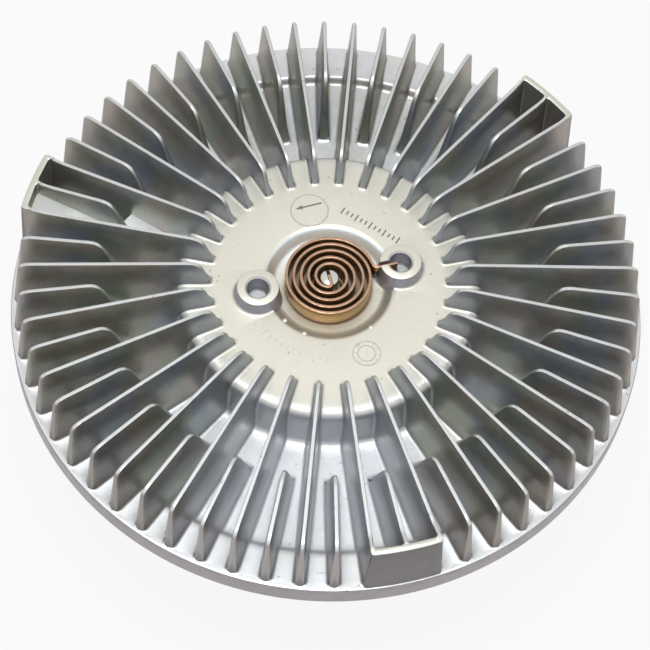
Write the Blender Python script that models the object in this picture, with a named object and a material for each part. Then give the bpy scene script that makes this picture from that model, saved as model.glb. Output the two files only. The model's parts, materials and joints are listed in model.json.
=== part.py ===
"""Viscous fan clutch of a truck engine, standing on its drive hub with the thermostatic coil on top.

The drive hub turns the clutch plate. Silicone oil between the plate's lands and the body's lands
drags the finned housing round, and the fan bolts to the housing's rear pads. A bimetal coil on the
front turns the valve arm, which lets the oil out of the reservoir behind the cover.
"""

import math

import bmesh
import bpy
from mathutils import Matrix, Vector

MM = 0.001

# Clearances
FIT = 0.3 * MM  # between pieces that seat on or in each other
LAND_GAP = 0.9 * MM  # radial gap between interleaved lands
LAND_TIP_GAP = 1.5 * MM  # axial gap past the tip of a land
PLATE_TIP_GAP = 1.7 * MM  # between the clutch plate's edge and the body's wall
SHAFT_END_GAP = 0.9 * MM  # between the drive shaft's end and the separator plate

# Facets of round pieces, by size
RIM_FACETS = 40
PLATE_FACETS = 32
RACE_FACETS = 24
SHAFT_FACETS = 20
SMALL_FACETS = 12
TINY_FACETS = 8

# Drive shaft
HEX_ACROSS_FLATS = 50 * MM
HEX_LENGTH = 18 * MM
HEX_CHAMFER = 2.4 * MM
HUB_LENGTH = 29.7 * MM  # hub end to the bearing shoulder
SHOULDER_HEIGHT = 3.5 * MM
THREAD_RADIUS = 14.2 * MM
THREAD_DEPTH = 24 * MM
THREAD_RELIEF = 1.2 * MM
SPLINE_TEETH = 12
SPLINE_TIP_RADIUS = 15.2 * MM
SPLINE_DEPTH = 1.4 * MM

# Ball bearing
BEARING_BORE = 35 * MM
BEARING_OUTER = 72 * MM
BEARING_WIDTH = 17 * MM
BALL_COUNT = 9
BALL_DIAMETER = 11.1 * MM
RACE_LAND = 2.75 * MM  # from the pitch circle to each race's land
SEAL_THICKNESS = 0.9 * MM
CAGE_THICKNESS = 3.2 * MM
CAGE_BACK = 0.9 * MM
BEARING_CLIP = 1.6 * MM
BEARING_CLIP_BITE = 2 * MM
BEARING_CLIP_GAP = 24  # degrees

# Clutch plate and the lands that drag the oil
LIP_THICKNESS = 3 * MM
LAND_COUNT = 3
LAND_THICKNESS = 2.4 * MM
LAND_DEPTH = 6 * MM
PLATE_WEB = 5 * MM
PLATE_RELIEF = 2.8 * MM
PLATE_INNER_WEB = 4 * MM
PLATE_RELIEF_MARGIN = 2.2 * MM  # from the separator plate's edge to the relief's
PLATE_HUB_RADIUS = 23.5 * MM
PLATE_HOLES = 6
PLATE_HOLE_RADIUS = 4 * MM
PLATE_HOLE_CIRCLE = 41 * MM
RETAINER_THICKNESS = 1.2 * MM
RETAINER_WIDTH = 4 * MM
RETAINER_LAND = 1.3 * MM
RETAINER_GAP = 40  # degrees

# Separator plate, its screws and the wiper
SEPARATOR_THICKNESS = 1.2 * MM
SEPARATOR_LEDGE = 6.7 * MM  # past the plateau's edge
PORT_RADIUS = 4 * MM
SCREW_COUNT = 4
SCREW_RADIUS = 1.7 * MM
SCREW_GRIP = 2.6 * MM  # how far a screw reaches into the cover
SCREW_HEAD_RADIUS = 3.3 * MM
SCREW_HEAD_HEIGHT = 1.6 * MM
WIPER_LENGTH = 11 * MM
WIPER_SPREAD = 14  # degrees round the axis
WIPER_ANGLE = 108
WIPER_THICKNESS = 1.5 * MM

# Front cover
RIM_RADIUS = 114 * MM
COVER_WALL = 4 * MM
RING_STEP = 2.5 * MM  # outer ring above the finned floor
RING_WIDTH = 15 * MM
RING_SLOPE = 1.8 * MM
PLATEAU_RISE = 12.9 * MM  # plateau above the outer ring
PLATEAU_RADIUS = 54.4 * MM
PLATEAU_ROUND = 3.2 * MM
SHOULDER_SLOPE = 2.2 * MM
SHOULDER_FILLET = 3 * MM
DISH_DEPTH = 3.6 * MM
DISH_FLOOR_RADIUS = 19 * MM
DISH_RIM_RADIUS = 23.4 * MM
SKIRT_WALL = 3.5 * MM
ROOF_THICKNESS = 3 * MM
CRIMP_THICKNESS = 1.7 * MM
CRIMP_REACH = 3 * MM

# Fins of the cover, heights above the outer ring
FIN_PAIRS = 30
FIN_START_ANGLE = 5
FIN_RISE = 24.9 * MM
FIN_FALL = 1.4 * MM  # drop of the top edge from its inner to its outer end
FIN_TIP = 1.5 * MM  # thickness at the top edge
FIN_DRAFT = 3.1  # degrees on each side
FIN_INNER_ROUND = Vector((6.2, 6.4)) * MM
FIN_OUTER_ROUND = Vector((4.4, 3.8)) * MM
FIN_RIM_MARGIN = 1.2 * MM
FIN_OUTER_LEAN = 2.7 * MM
LONG_FIN_FOOT = 12.8 * MM  # from its inner end to the plateau's edge
LONG_FIN_LEAN = 2.4 * MM
SHORT_FIN_SETBACK = 22.2 * MM  # from the plateau's edge to its inner end
SHORT_FIN_LEAN = 1.9 * MM

# Lugs that hold the casting in a lathe chuck
LUG_COUNT = 3
LUG_START_ANGLE = 47
LUG_WALL = 3.4 * MM
LUG_RISE = 21.9 * MM
LUG_MARGIN = 0.7 * MM
LUG_TAPER = 1 * MM
LUG_FILLET = 2.6 * MM

# Bosses beside the coil
BOSS_CIRCLE = 26.1 * MM
BOSS_ANGLE = 17.25
BOSS_RISE = 18 * MM
BOSS_TOP_RADIUS = 7.5 * MM
BOSS_FOOT_RADIUS = 8.9 * MM
BOSS_HOLE_RADIUS = 4 * MM
BOSS_HOLE_DEPTH = 8 * MM
BOSS_CHAMFER = 0.6 * MM

# Rear body
BODY_WALL = 4.3 * MM
BODY_WALL_TAPER = 2 * MM
BODY_WEB = 5.3 * MM
BODY_CORNER = 4.5 * MM
FLANGE_THICKNESS = 3.8 * MM
FLANGE_REACH = 10 * MM
BODY_HUB_WALL = 9.7 * MM
BODY_TAIL = 1.9 * MM  # behind the bearing clip's groove
RIB_COUNT = 16
RIB_THICKNESS = 3 * MM
RIB_HUB_HEIGHT = 13 * MM
RIB_RIM_HEIGHT = 4 * MM
RIB_DRAFT = 2
PAD_COUNT = 4
PAD_CIRCLE = 72 * MM
PAD_RADIUS = 12 * MM
PAD_HEIGHT = 11.5 * MM
STUD_RADIUS = 4 * MM
STUD_GRIP = 10 * MM
STUD_REACH = 21 * MM
SEAL_RADIUS = 0.8 * MM
SEAL_INSET = 3.2 * MM  # from the flange's edge to the seal

# Valve and its bimetal coil
VALVE_JOURNAL = 4.5 * MM
VALVE_TIP = 3.4 * MM
VALVE_TIP_RISE = 16.4 * MM
VALVE_SQUARE = 4.6 * MM
VALVE_SEAL = 1.5 * MM
ARM_THICKNESS = 1.2 * MM
ARM_WIDTH = 9 * MM
ARM_PADDLE_RADIUS = 7 * MM
ARM_MARGIN = 3.6 * MM  # from the arm's end to the reservoir's wall
ARM_ANGLE = 106
ARM_FOOT = 0.5 * MM  # the square end past the arm
BUSH_WALL = 1.7 * MM
BUSH_LENGTH = 10.8 * MM
BUSH_FLANGE = 1.2 * MM
COIL_STRIP = 1.1 * MM
COIL_HEIGHT = 7 * MM
COIL_RADIUS = 16.5 * MM  # middle of the strip at its outer end
COIL_TURNS = 4.75
COIL_STEPS = 12  # to a turn
COIL_BEND = 1.1 * MM

# Heights above the hub's end, worked out from the stack of pieces
Z_SHOULDER = HUB_LENGTH
Z_BEARING_REAR = Z_SHOULDER + FIT
Z_BEARING_MID = Z_BEARING_REAR + BEARING_WIDTH / 2
Z_BEARING_FRONT = Z_BEARING_REAR + BEARING_WIDTH
Z_PLATE_SEAT = Z_BEARING_FRONT + FIT
Z_BODY_FLOOR = Z_BEARING_FRONT + FIT + LIP_THICKNESS
Z_LAND_TIP = Z_BODY_FLOOR + LAND_TIP_GAP
Z_PLATE_REAR = Z_LAND_TIP + LAND_DEPTH
Z_PLATE_FRONT = Z_PLATE_REAR + PLATE_WEB
Z_HUB_FRONT = Z_PLATE_FRONT - PLATE_RELIEF
Z_RETAINER = Z_HUB_FRONT + FIT
Z_SHAFT_END = Z_RETAINER + RETAINER_THICKNESS + FIT + RETAINER_LAND
Z_SEPARATOR = Z_SHAFT_END + SHAFT_END_GAP
Z_COVER_REAR = Z_SEPARATOR + SEPARATOR_THICKNESS + FIT
Z_FLOOR = Z_COVER_REAR + COVER_WALL
Z_RING = Z_FLOOR + RING_STEP
Z_ROOF = Z_RING - ROOF_THICKNESS
Z_FLANGE = Z_ROOF - FIT
Z_FLANGE_REAR = Z_FLANGE - FLANGE_THICKNESS
Z_CRIMP = Z_FLANGE_REAR - FIT
Z_PLATEAU = Z_RING + PLATEAU_RISE
Z_DISH = Z_PLATEAU - DISH_DEPTH
Z_WEB_REAR = Z_BODY_FLOOR - BODY_WEB
Z_PAD = Z_WEB_REAR - PAD_HEIGHT
Z_CLIP = Z_BEARING_REAR - FIT - BEARING_CLIP
Z_TAIL = Z_CLIP - FIT - BODY_TAIL
Z_BUSH_REAR = Z_DISH - BUSH_LENGTH
Z_ARM = Z_SEPARATOR + SEPARATOR_THICKNESS + FIT + ARM_FOOT

# Radii worked out from the stack of pieces
R_SKIRT = RIM_RADIUS - SKIRT_WALL
R_FLANGE = R_SKIRT - FIT
R_WALL = R_FLANGE - FLANGE_REACH
R_PLATE = R_WALL - PLATE_TIP_GAP
R_PITCH = (BEARING_BORE + BEARING_OUTER) / 4
R_SEAT = BEARING_OUTER / 2 + FIT
R_BODY_HUB = R_SEAT + BODY_HUB_WALL
R_BUSH = VALVE_JOURNAL + FIT + BUSH_WALL
R_FIN_END = RIM_RADIUS - FIN_RIM_MARGIN
R_LONG_FIN = PLATEAU_RADIUS - LONG_FIN_FOOT
R_SHORT_FIN = PLATEAU_RADIUS + SHORT_FIN_SETBACK
R_RESERVOIR = PLATEAU_RADIUS - COVER_WALL
R_SEPARATOR = PLATEAU_RADIUS + SEPARATOR_LEDGE
R_RELIEF = R_SEPARATOR + PLATE_RELIEF_MARGIN
R_PORTS = R_RESERVOIR - ARM_MARGIN - ARM_PADDLE_RADIUS

# Direction of the housing's first facet edge, midway between two fins
RIM_PHASE = FIN_START_ANGLE - 180 / RIM_FACETS


# Solids as bmesh


def rounded(corners, steps=1):
    """Outline through (x, y, radius) corners, each rounded by an arc of that many steps."""
    points = []
    for index, (x, y, radius) in enumerate(corners):
        here = Vector((x, y))
        if radius <= 0:
            points.append(here)
            continue
        before = (Vector(corners[index - 1][:2]) - here).normalized()
        after = (Vector(corners[(index + 1) % len(corners)][:2]) - here).normalized()
        half = before.angle(after) / 2
        start = here + before * radius / math.tan(half)
        end = here + after * radius / math.tan(half)
        centre = here + (before + after).normalized() * radius / math.sin(half)
        first = (start - centre).normalized()
        last = (end - centre).normalized()
        for step in range(steps + 1):
            points.append(centre + first.slerp(last, step / steps) * radius)
    return points


def bend(start, corner, end, steps=2):
    """Points of a smooth bend from start to end that heads for the corner between them."""
    curve = []
    for step in range(steps + 1):
        t = step / steps
        curve.append(start * (1 - t) ** 2 + corner * 2 * t * (1 - t) + end * t**2)
    return curve


def turned(profile, facets, phase=0.0):
    """Solid of revolution about Z of a closed (radius, height) profile."""
    bm = bmesh.new()
    points = [bm.verts.new((r, 0, z)) for r, z in profile]
    loop = [bm.edges.new((a, b)) for a, b in zip(points, points[1:] + points[:1])]
    bmesh.ops.spin(
        bm,
        geom=points + loop,
        cent=(0, 0, 0),
        axis=(0, 0, 1),
        angle=2 * math.pi,
        steps=facets,
        use_merge=True,
    )
    bmesh.ops.remove_doubles(bm, verts=bm.verts, dist=1e-7)
    bmesh.ops.dissolve_degenerate(bm, edges=bm.edges, dist=1e-7)
    on_axis = [edge for edge in bm.edges if not edge.link_faces]
    bmesh.ops.delete(bm, geom=on_axis, context="EDGES")
    bmesh.ops.rotate(bm, verts=bm.verts, matrix=Matrix.Rotation(math.radians(phase), 3, "Z"))
    bmesh.ops.recalc_face_normals(bm, faces=bm.faces)
    return bm


def extruded(outline, start, end, top_outline=None):
    """Prism from a plan outline; a second outline of as many points gives it a taper."""
    bm = bmesh.new()
    low = [bm.verts.new((x, y, start)) for x, y in outline]
    high = [bm.verts.new((x, y, end)) for x, y in top_outline or outline]
    bm.faces.new(reversed(low))
    bm.faces.new(high)
    count = len(low)
    for index in range(count):
        after = (index + 1) % count
        bm.faces.new((low[index], low[after], high[after], high[index]))
    bmesh.ops.recalc_face_normals(bm, faces=bm.faces)
    return bm


def circle(radius, facets, centre=(0, 0)):
    """Plan outline of a circle."""
    around = [2 * math.pi * step / facets for step in range(facets)]
    return [
        (centre[0] + radius * math.cos(a), centre[1] + radius * math.sin(a)) for a in around
    ]


def sector(inner, outer, centre_angle, spread, steps):
    """Plan outline of a piece of a ring, angles in degrees."""
    angles = [
        math.radians(centre_angle + spread * (step / steps - 0.5)) for step in range(steps + 1)
    ]
    arc = [(outer * math.cos(a), outer * math.sin(a)) for a in angles]
    return arc + [(inner * math.cos(a), inner * math.sin(a)) for a in reversed(angles)]


def polar(radius, angle, height=0.0):
    """Point at a radius and an angle in degrees."""
    turn = math.radians(angle)
    return Vector((radius * math.cos(turn), radius * math.sin(turn), height))


def drafted_rib(outline, angle, tip, draft, tip_height, up=1):
    """Rib in the radial plane at an angle: its (radius, height) outline, thicker away from the tip."""
    bm = bmesh.new()
    slope = math.tan(math.radians(draft))
    sides = []
    for side in (-1, 1):
        ring = []
        for r, z in outline:
            half = tip / 2 + slope * max(0.0, up * (tip_height - z))
            ring.append(bm.verts.new((r, side * half, z)))
        sides.append(ring)
    bm.faces.new(sides[0])
    bm.faces.new(reversed(sides[1]))
    count = len(outline)
    for index in range(count):
        after = (index + 1) % count
        bm.faces.new((sides[0][index], sides[0][after], sides[1][after], sides[1][index]))
    bmesh.ops.recalc_face_normals(bm, faces=bm.faces)
    bmesh.ops.rotate(bm, verts=bm.verts, matrix=Matrix.Rotation(math.radians(angle), 3, "Z"))
    return bm


def moved(bm, offset=(0, 0, 0), angle=0.0):
    """The solid turned about Z by an angle in degrees, then moved."""
    bmesh.ops.rotate(bm, verts=bm.verts, matrix=Matrix.Rotation(math.radians(angle), 3, "Z"))
    bmesh.ops.translate(bm, verts=bm.verts, vec=offset)
    return bm


def together(solids):
    """Solids that don't touch, in one bmesh."""
    gathered = bmesh.new()
    for solid in solids:
        mesh = bpy.data.meshes.new("gathered")
        solid.to_mesh(mesh)
        gathered.from_mesh(mesh)
        bpy.data.meshes.remove(mesh)
        solid.free()
    return gathered


def combined(base, tool, operation):
    """Boolean of two solids: UNION, DIFFERENCE or INTERSECT."""
    holders = []
    for name, solid in (("base", base), ("tool", tool)):
        mesh = bpy.data.meshes.new(name)
        solid.to_mesh(mesh)
        solid.free()
        holder = bpy.data.objects.new(name, mesh)
        bpy.context.scene.collection.objects.link(holder)
        holders.append(holder)
    cut = holders[0].modifiers.new("cut", "BOOLEAN")
    cut.operation = operation
    cut.solver = "EXACT"
    cut.object = holders[1]
    graph = bpy.context.evaluated_depsgraph_get()
    result = bmesh.new()
    result.from_object(holders[0], graph)
    for holder in holders:
        mesh = holder.data
        bpy.data.objects.remove(holder)
        bpy.data.meshes.remove(mesh)
    bmesh.ops.remove_doubles(result, verts=result.verts, dist=1e-6)
    return result


# Objects and finishes


def finish(name, colour, metallic, roughness):
    """Principled material in one plain finish."""
    material = bpy.data.materials.new(name)
    material.use_nodes = True
    shader = material.node_tree.nodes["Principled BSDF"]
    shader.inputs["Base Color"].default_value = (*colour, 1)
    shader.inputs["Metallic"].default_value = metallic
    shader.inputs["Roughness"].default_value = roughness
    material.diffuse_color = (*colour, 1)
    return material


def piece(name, bm, look, parent=None, centre=(0, 0, 0)):
    """Object whose origin is at the given point of the assembly."""
    mesh = bpy.data.meshes.new(name)
    bmesh.ops.translate(bm, verts=bm.verts, vec=-Vector(centre))
    bm.to_mesh(mesh)
    bm.free()
    mesh.shade_smooth()
    mesh.set_sharp_from_angle(angle=math.radians(32))
    mesh.materials.append(finish(name, *look))
    made = bpy.data.objects.new(name, mesh)
    made.location = centre
    made.parent = parent
    bpy.context.scene.collection.objects.link(made)
    return made


def axis_empty(name, parent=None):
    """Empty on the common axis that carries one turning body."""
    made = bpy.data.objects.new(name, None)
    made.empty_display_size = 20 * MM
    made.parent = parent
    bpy.context.scene.collection.objects.link(made)
    return made


CAST_ALUMINIUM = ((0.72, 0.71, 0.68), 0.9, 0.45)
TURNED_ALUMINIUM = ((0.78, 0.77, 0.75), 1.0, 0.3)
BRIGHT_STEEL = ((0.62, 0.62, 0.63), 1.0, 0.25)
DARK_STEEL = ((0.22, 0.22, 0.23), 0.9, 0.4)
PLATED_STEEL = ((0.66, 0.6, 0.42), 1.0, 0.3)
BIMETAL = ((0.5, 0.31, 0.2), 0.95, 0.35)
BRONZE = ((0.58, 0.42, 0.22), 1.0, 0.35)
BLACK_RUBBER = ((0.02, 0.02, 0.02), 0.0, 0.7)
BROWN_NYLON = ((0.35, 0.22, 0.1), 0.0, 0.5)


# Drive side


def spline_outline(spread=0.0):
    """Plan outline of the toothed seat of the clutch plate, grown by a clearance."""
    points = []
    tip = SPLINE_TIP_RADIUS + spread
    root = tip - SPLINE_DEPTH
    pitch = 360 / SPLINE_TEETH
    for tooth in range(SPLINE_TEETH):
        for radius, share in ((root, -0.3), (tip, -0.17), (tip, 0.17), (root, 0.3)):
            points.append(polar(radius, (tooth + share) * pitch)[:2])
    return points


def drive_shaft(parent):
    """Steel hub with a hexagon and a threaded socket, bearing journal and splined end."""
    corner = HEX_ACROSS_FLATS / 2 / math.cos(math.pi / 6)
    face = HEX_ACROSS_FLATS / 2 - HEX_CHAMFER / 2
    neck = BEARING_BORE / 2 + SHOULDER_HEIGHT
    journal = BEARING_BORE / 2 - FIT
    hexagon = extruded(circle(corner, 6), 0, HEX_LENGTH)
    limit = [
        (0, 0),
        (face, 0),
        (corner, HEX_CHAMFER),
        (corner, HEX_LENGTH - HEX_CHAMFER),
        (face, HEX_LENGTH),
        (0, HEX_LENGTH),
    ]
    hub = combined(hexagon, turned(limit, SHAFT_FACETS), "INTERSECT")
    step = [
        (0, HEX_LENGTH - HEX_CHAMFER),
        (neck, HEX_LENGTH - HEX_CHAMFER),
        (neck, Z_SHOULDER),
        (journal, Z_SHOULDER),
        (journal, Z_BEARING_FRONT),
        (0, Z_BEARING_FRONT),
    ]
    shaft = combined(hub, turned(step, SHAFT_FACETS), "UNION")
    teeth = extruded(spline_outline(), Z_BEARING_FRONT - FIT, Z_SHAFT_END)
    shaft = combined(shaft, teeth, "UNION")
    shaft = combined(shaft, retainer_groove(), "DIFFERENCE")
    shaft = combined(shaft, threaded_socket(), "DIFFERENCE")
    return piece("drive_shaft", shaft, BRIGHT_STEEL, parent)


def retainer_groove_radius():
    """Floor of the groove for the clutch plate's retaining ring."""
    return SPLINE_TIP_RADIUS - SPLINE_DEPTH - RETAINER_THICKNESS / 2


def retainer_groove():
    """Cut for the retaining ring near the shaft's splined end."""
    floor = retainer_groove_radius()
    outer = SPLINE_TIP_RADIUS + RETAINER_THICKNESS
    front = Z_RETAINER + RETAINER_THICKNESS + FIT
    cut = [(floor, Z_HUB_FRONT), (outer, Z_HUB_FRONT), (outer, front), (floor, front)]
    return turned(cut, SHAFT_FACETS)


def threaded_socket():
    """Cut for the threaded socket in the hub's end, with its entry chamfer and relief."""
    entry = THREAD_RADIUS + THREAD_RELIEF
    cut = [
        (0, -THREAD_RELIEF),
        (entry + THREAD_RELIEF, -THREAD_RELIEF),
        (THREAD_RADIUS, THREAD_RELIEF),
        (THREAD_RADIUS, THREAD_DEPTH - 2 * THREAD_RELIEF),
        (entry, THREAD_DEPTH - THREAD_RELIEF),
        (entry, THREAD_DEPTH),
        (0, THREAD_DEPTH + THREAD_RADIUS / 4),
    ]
    return turned(cut, SHAFT_FACETS)


def plate_land_edges():
    """(inner, outer) radius of each land of the clutch plate, from the edge inwards."""
    pitch = 2 * (LAND_THICKNESS + LAND_GAP)
    return [
        (R_PLATE - k * pitch - LAND_THICKNESS, R_PLATE - k * pitch) for k in range(LAND_COUNT)
    ]


def clutch_plate(parent):
    """Aluminium rotor: splined hub, relieved web and annular lands on its rear face."""
    bore = SPLINE_TIP_RADIUS - SPLINE_DEPTH + FIT
    web_rear = Z_HUB_FRONT - PLATE_INNER_WEB
    innermost = plate_land_edges()[-1][0] - LAND_THICKNESS
    profile = [
        (bore, Z_PLATE_SEAT),
        (PLATE_HUB_RADIUS, Z_PLATE_SEAT),
        (PLATE_HUB_RADIUS + PLATE_INNER_WEB / 2, web_rear),
        (innermost - PLATE_INNER_WEB, web_rear),
        (innermost, Z_PLATE_REAR),
    ]
    for inner, outer in reversed(plate_land_edges()):
        profile += [(inner, Z_PLATE_REAR), (inner, Z_LAND_TIP), (outer, Z_LAND_TIP)]
        if outer < R_PLATE:
            profile.append((outer, Z_PLATE_REAR))
    profile += [
        (R_PLATE, Z_PLATE_FRONT),
        (R_RELIEF, Z_PLATE_FRONT),
        (R_RELIEF - PLATE_RELIEF, Z_HUB_FRONT),
        (bore, Z_HUB_FRONT),
    ]
    plate = turned(profile, PLATE_FACETS)
    seat = extruded(spline_outline(FIT), Z_PLATE_SEAT - FIT, Z_HUB_FRONT + FIT)
    plate = combined(plate, seat, "DIFFERENCE")
    holes = []
    for index in range(PLATE_HOLES):
        centre = polar(PLATE_HOLE_CIRCLE, index * 360 / PLATE_HOLES)
        outline = circle(PLATE_HOLE_RADIUS, TINY_FACETS, centre)
        holes.append(extruded(outline, Z_PLATE_SEAT, Z_PLATE_FRONT))
    plate = combined(plate, together(holes), "DIFFERENCE")
    return piece("clutch_plate", plate, TURNED_ALUMINIUM, parent)


def open_ring(inner, outer, thickness, height, gap):
    """Flat retaining ring with a gap, in degrees."""
    outline = sector(inner, outer, 180, 360 - gap, SHAFT_FACETS)
    return extruded(outline, height, height + thickness)


def plate_retaining_ring(parent):
    """Spring ring in the shaft's groove that keeps the clutch plate on its spline."""
    inner = retainer_groove_radius() + FIT
    ring = open_ring(inner, inner + RETAINER_WIDTH, RETAINER_THICKNESS, Z_RETAINER, RETAINER_GAP)
    return piece("plate_retaining_ring", ring, DARK_STEEL, parent)


# Bearing


def race_groove(side):
    """Ball groove of a race in (radius, height), on the side that faces the balls."""
    radius = BALL_DIAMETER / 2 + FIT
    reach = math.acos(RACE_LAND / radius)
    steps = 4
    points = []
    for step in range(steps + 1):
        a = reach * (1 - 2 * step / steps)
        r = R_PITCH + side * radius * math.cos(a)
        points.append((r, Z_BEARING_MID + radius * math.sin(a)))
    return points


def bearing_inner_race(parent):
    """Inner race, on the drive shaft's journal."""
    land = R_PITCH - RACE_LAND
    bore = BEARING_BORE / 2
    profile = [(bore, Z_BEARING_FRONT), (land, Z_BEARING_FRONT)]
    profile += race_groove(-1)
    profile += [(land, Z_BEARING_REAR), (bore, Z_BEARING_REAR)]
    return piece("bearing_inner_race", turned(profile, RACE_FACETS), BRIGHT_STEEL, parent)


def bearing_outer_race(parent):
    """Outer race, in the body's seat, with a step at each end for its seal."""
    land = R_PITCH + RACE_LAND
    step = land + SEAL_THICKNESS
    inset = SEAL_THICKNESS + 2 * FIT
    outer = BEARING_OUTER / 2
    profile = [
        (outer, Z_BEARING_FRONT),
        (step, Z_BEARING_FRONT),
        (step, Z_BEARING_FRONT - inset),
        (land, Z_BEARING_FRONT - inset),
    ]
    profile += race_groove(1)
    profile += [
        (land, Z_BEARING_REAR + inset),
        (step, Z_BEARING_REAR + inset),
        (step, Z_BEARING_REAR),
        (outer, Z_BEARING_REAR),
    ]
    return piece("bearing_outer_race", turned(profile, RACE_FACETS), BRIGHT_STEEL, parent)


def bearing_seals(parent):
    """Rubber seals in the outer race's steps."""
    inner = R_PITCH - RACE_LAND + FIT
    outer = R_PITCH + RACE_LAND + SEAL_THICKNESS - FIT
    front = Z_BEARING_FRONT - FIT - SEAL_THICKNESS
    for name, start in (("front", front), ("rear", Z_BEARING_REAR + FIT)):
        end = start + SEAL_THICKNESS
        profile = [(inner, start), (outer, start), (outer, end), (inner, end)]
        piece(f"bearing_seal_{name}", turned(profile, SHAFT_FACETS), BLACK_RUBBER, parent)


def bearing_cage(parent):
    """Snap cage: a ring with a pocket round each ball, open to the front."""
    pocket = BALL_DIAMETER / 2 + FIT
    rear = Z_BEARING_MID - pocket - CAGE_BACK
    front = Z_BEARING_MID + pocket / 3
    inner = R_PITCH - CAGE_THICKNESS / 2
    outer = R_PITCH + CAGE_THICKNESS / 2
    ring = [(inner, rear), (outer, rear), (outer, front), (inner, front)]
    cage = turned(ring, BALL_COUNT * 2, 90 / BALL_COUNT)
    pockets = []
    for index in range(BALL_COUNT):
        hole = extruded(circle(pocket, SMALL_FACETS), inner - CAGE_THICKNESS, outer + CAGE_THICKNESS)
        bmesh.ops.rotate(hole, verts=hole.verts, matrix=Matrix.Rotation(math.pi / 2, 3, "Y"))
        pockets.append(moved(hole, (0, 0, Z_BEARING_MID), index * 360 / BALL_COUNT))
    cage = combined(cage, together(pockets), "DIFFERENCE")
    return piece("bearing_cage", cage, BROWN_NYLON, parent)


def bearing_balls(parent):
    """Steel balls on the pitch circle."""
    for index in range(BALL_COUNT):
        centre = polar(R_PITCH, index * 360 / BALL_COUNT, Z_BEARING_MID)
        ball = bmesh.new()
        bmesh.ops.create_icosphere(ball, subdivisions=2, radius=BALL_DIAMETER / 2)
        bmesh.ops.translate(ball, verts=ball.verts, vec=centre)
        piece(f"bearing_ball_{index + 1}", ball, BRIGHT_STEEL, parent, centre)


def bearing_clip(parent):
    """Internal circlip behind the bearing, in the body's groove."""
    outer = R_SEAT + BEARING_CLIP_BITE - FIT
    ring = open_ring(outer - 2 * BEARING_CLIP_BITE, outer, BEARING_CLIP, Z_CLIP, BEARING_CLIP_GAP)
    return piece("bearing_clip", ring, DARK_STEEL, parent)


# Rear body


def body_land_edges():
    """(inner, outer) radius of each land of the body, between those of the clutch plate."""
    return [
        (inner - LAND_GAP - LAND_THICKNESS, inner - LAND_GAP) for inner, _ in plate_land_edges()
    ]


def body_profile():
    """Section of the rear body in (radius, height)."""
    clip_front = Z_CLIP + BEARING_CLIP + FIT / 2
    clip_rear = Z_CLIP - FIT
    land_top = Z_BODY_FLOOR + LAND_DEPTH
    groove_inner = R_FLANGE - SEAL_INSET - SEAL_RADIUS - FIT
    groove_outer = R_FLANGE - SEAL_INSET + SEAL_RADIUS + FIT
    groove_floor = Z_FLANGE - 2 * (SEAL_RADIUS + FIT)
    wall = R_WALL + BODY_WALL
    corners = [
        (R_SEAT, Z_TAIL, 0),
        (R_BODY_HUB, Z_TAIL, 1.5 * MM),
        (R_BODY_HUB, Z_WEB_REAR, 0),
        (wall - BODY_WALL_TAPER - BODY_CORNER, Z_WEB_REAR, 0),
        (wall - BODY_WALL_TAPER, Z_WEB_REAR + BODY_CORNER, 0),
        (wall, Z_FLANGE_REAR, 0),
        (R_FLANGE, Z_FLANGE_REAR, 0),
        (R_FLANGE, Z_FLANGE, 0),
        (groove_outer, Z_FLANGE, 0),
        (groove_outer, groove_floor, 0),
        (groove_inner, groove_floor, 0),
        (groove_inner, Z_FLANGE, 0),
        (R_WALL, Z_FLANGE, 0),
        (R_WALL, Z_BODY_FLOOR, 0),
    ]
    for inner, outer in body_land_edges():
        for radius, height in (
            (outer, Z_BODY_FLOOR),
            (outer, land_top),
            (inner, land_top),
            (inner, Z_BODY_FLOOR),
        ):
            corners.append((radius, height, 0))
    corners += [
        (R_SEAT - LIP_THICKNESS, Z_BODY_FLOOR, 0),
        (R_SEAT - LIP_THICKNESS, Z_BODY_FLOOR - LIP_THICKNESS, 0),
        (R_SEAT, Z_BODY_FLOOR - LIP_THICKNESS, 0),
        (R_SEAT, clip_front, 0),
        (R_SEAT + BEARING_CLIP_BITE, clip_front, 0),
        (R_SEAT + BEARING_CLIP_BITE, clip_rear, 0),
        (R_SEAT, clip_rear, 0),
    ]
    return rounded(corners)


def rear_ribs():
    """Radial cooling ribs behind the body, tapering towards the rim."""
    inner = R_BODY_HUB - BODY_HUB_WALL / 3
    outer = R_WALL + BODY_WALL - BODY_WALL_TAPER - BODY_CORNER
    root = Z_WEB_REAR + BODY_WEB / 3
    outline = [
        (inner, root),
        (inner, Z_WEB_REAR - RIB_HUB_HEIGHT),
        (R_BODY_HUB + RIB_THICKNESS, Z_WEB_REAR - RIB_HUB_HEIGHT),
        (outer - RIB_THICKNESS, Z_WEB_REAR - RIB_RIM_HEIGHT),
        (outer, Z_WEB_REAR - RIB_RIM_HEIGHT / 2),
        (outer, root),
    ]
    tip = Z_WEB_REAR - RIB_HUB_HEIGHT
    ribs = []
    for index in range(RIB_COUNT):
        angle = (index + 0.5) * 360 / RIB_COUNT
        ribs.append(drafted_rib(outline, angle, RIB_THICKNESS, RIB_DRAFT, tip, -1))
    return together(ribs)


def pad_angle(index):
    """Direction of a fan pad, between two ribs."""
    return 45 + index * 360 / PAD_COUNT


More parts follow.
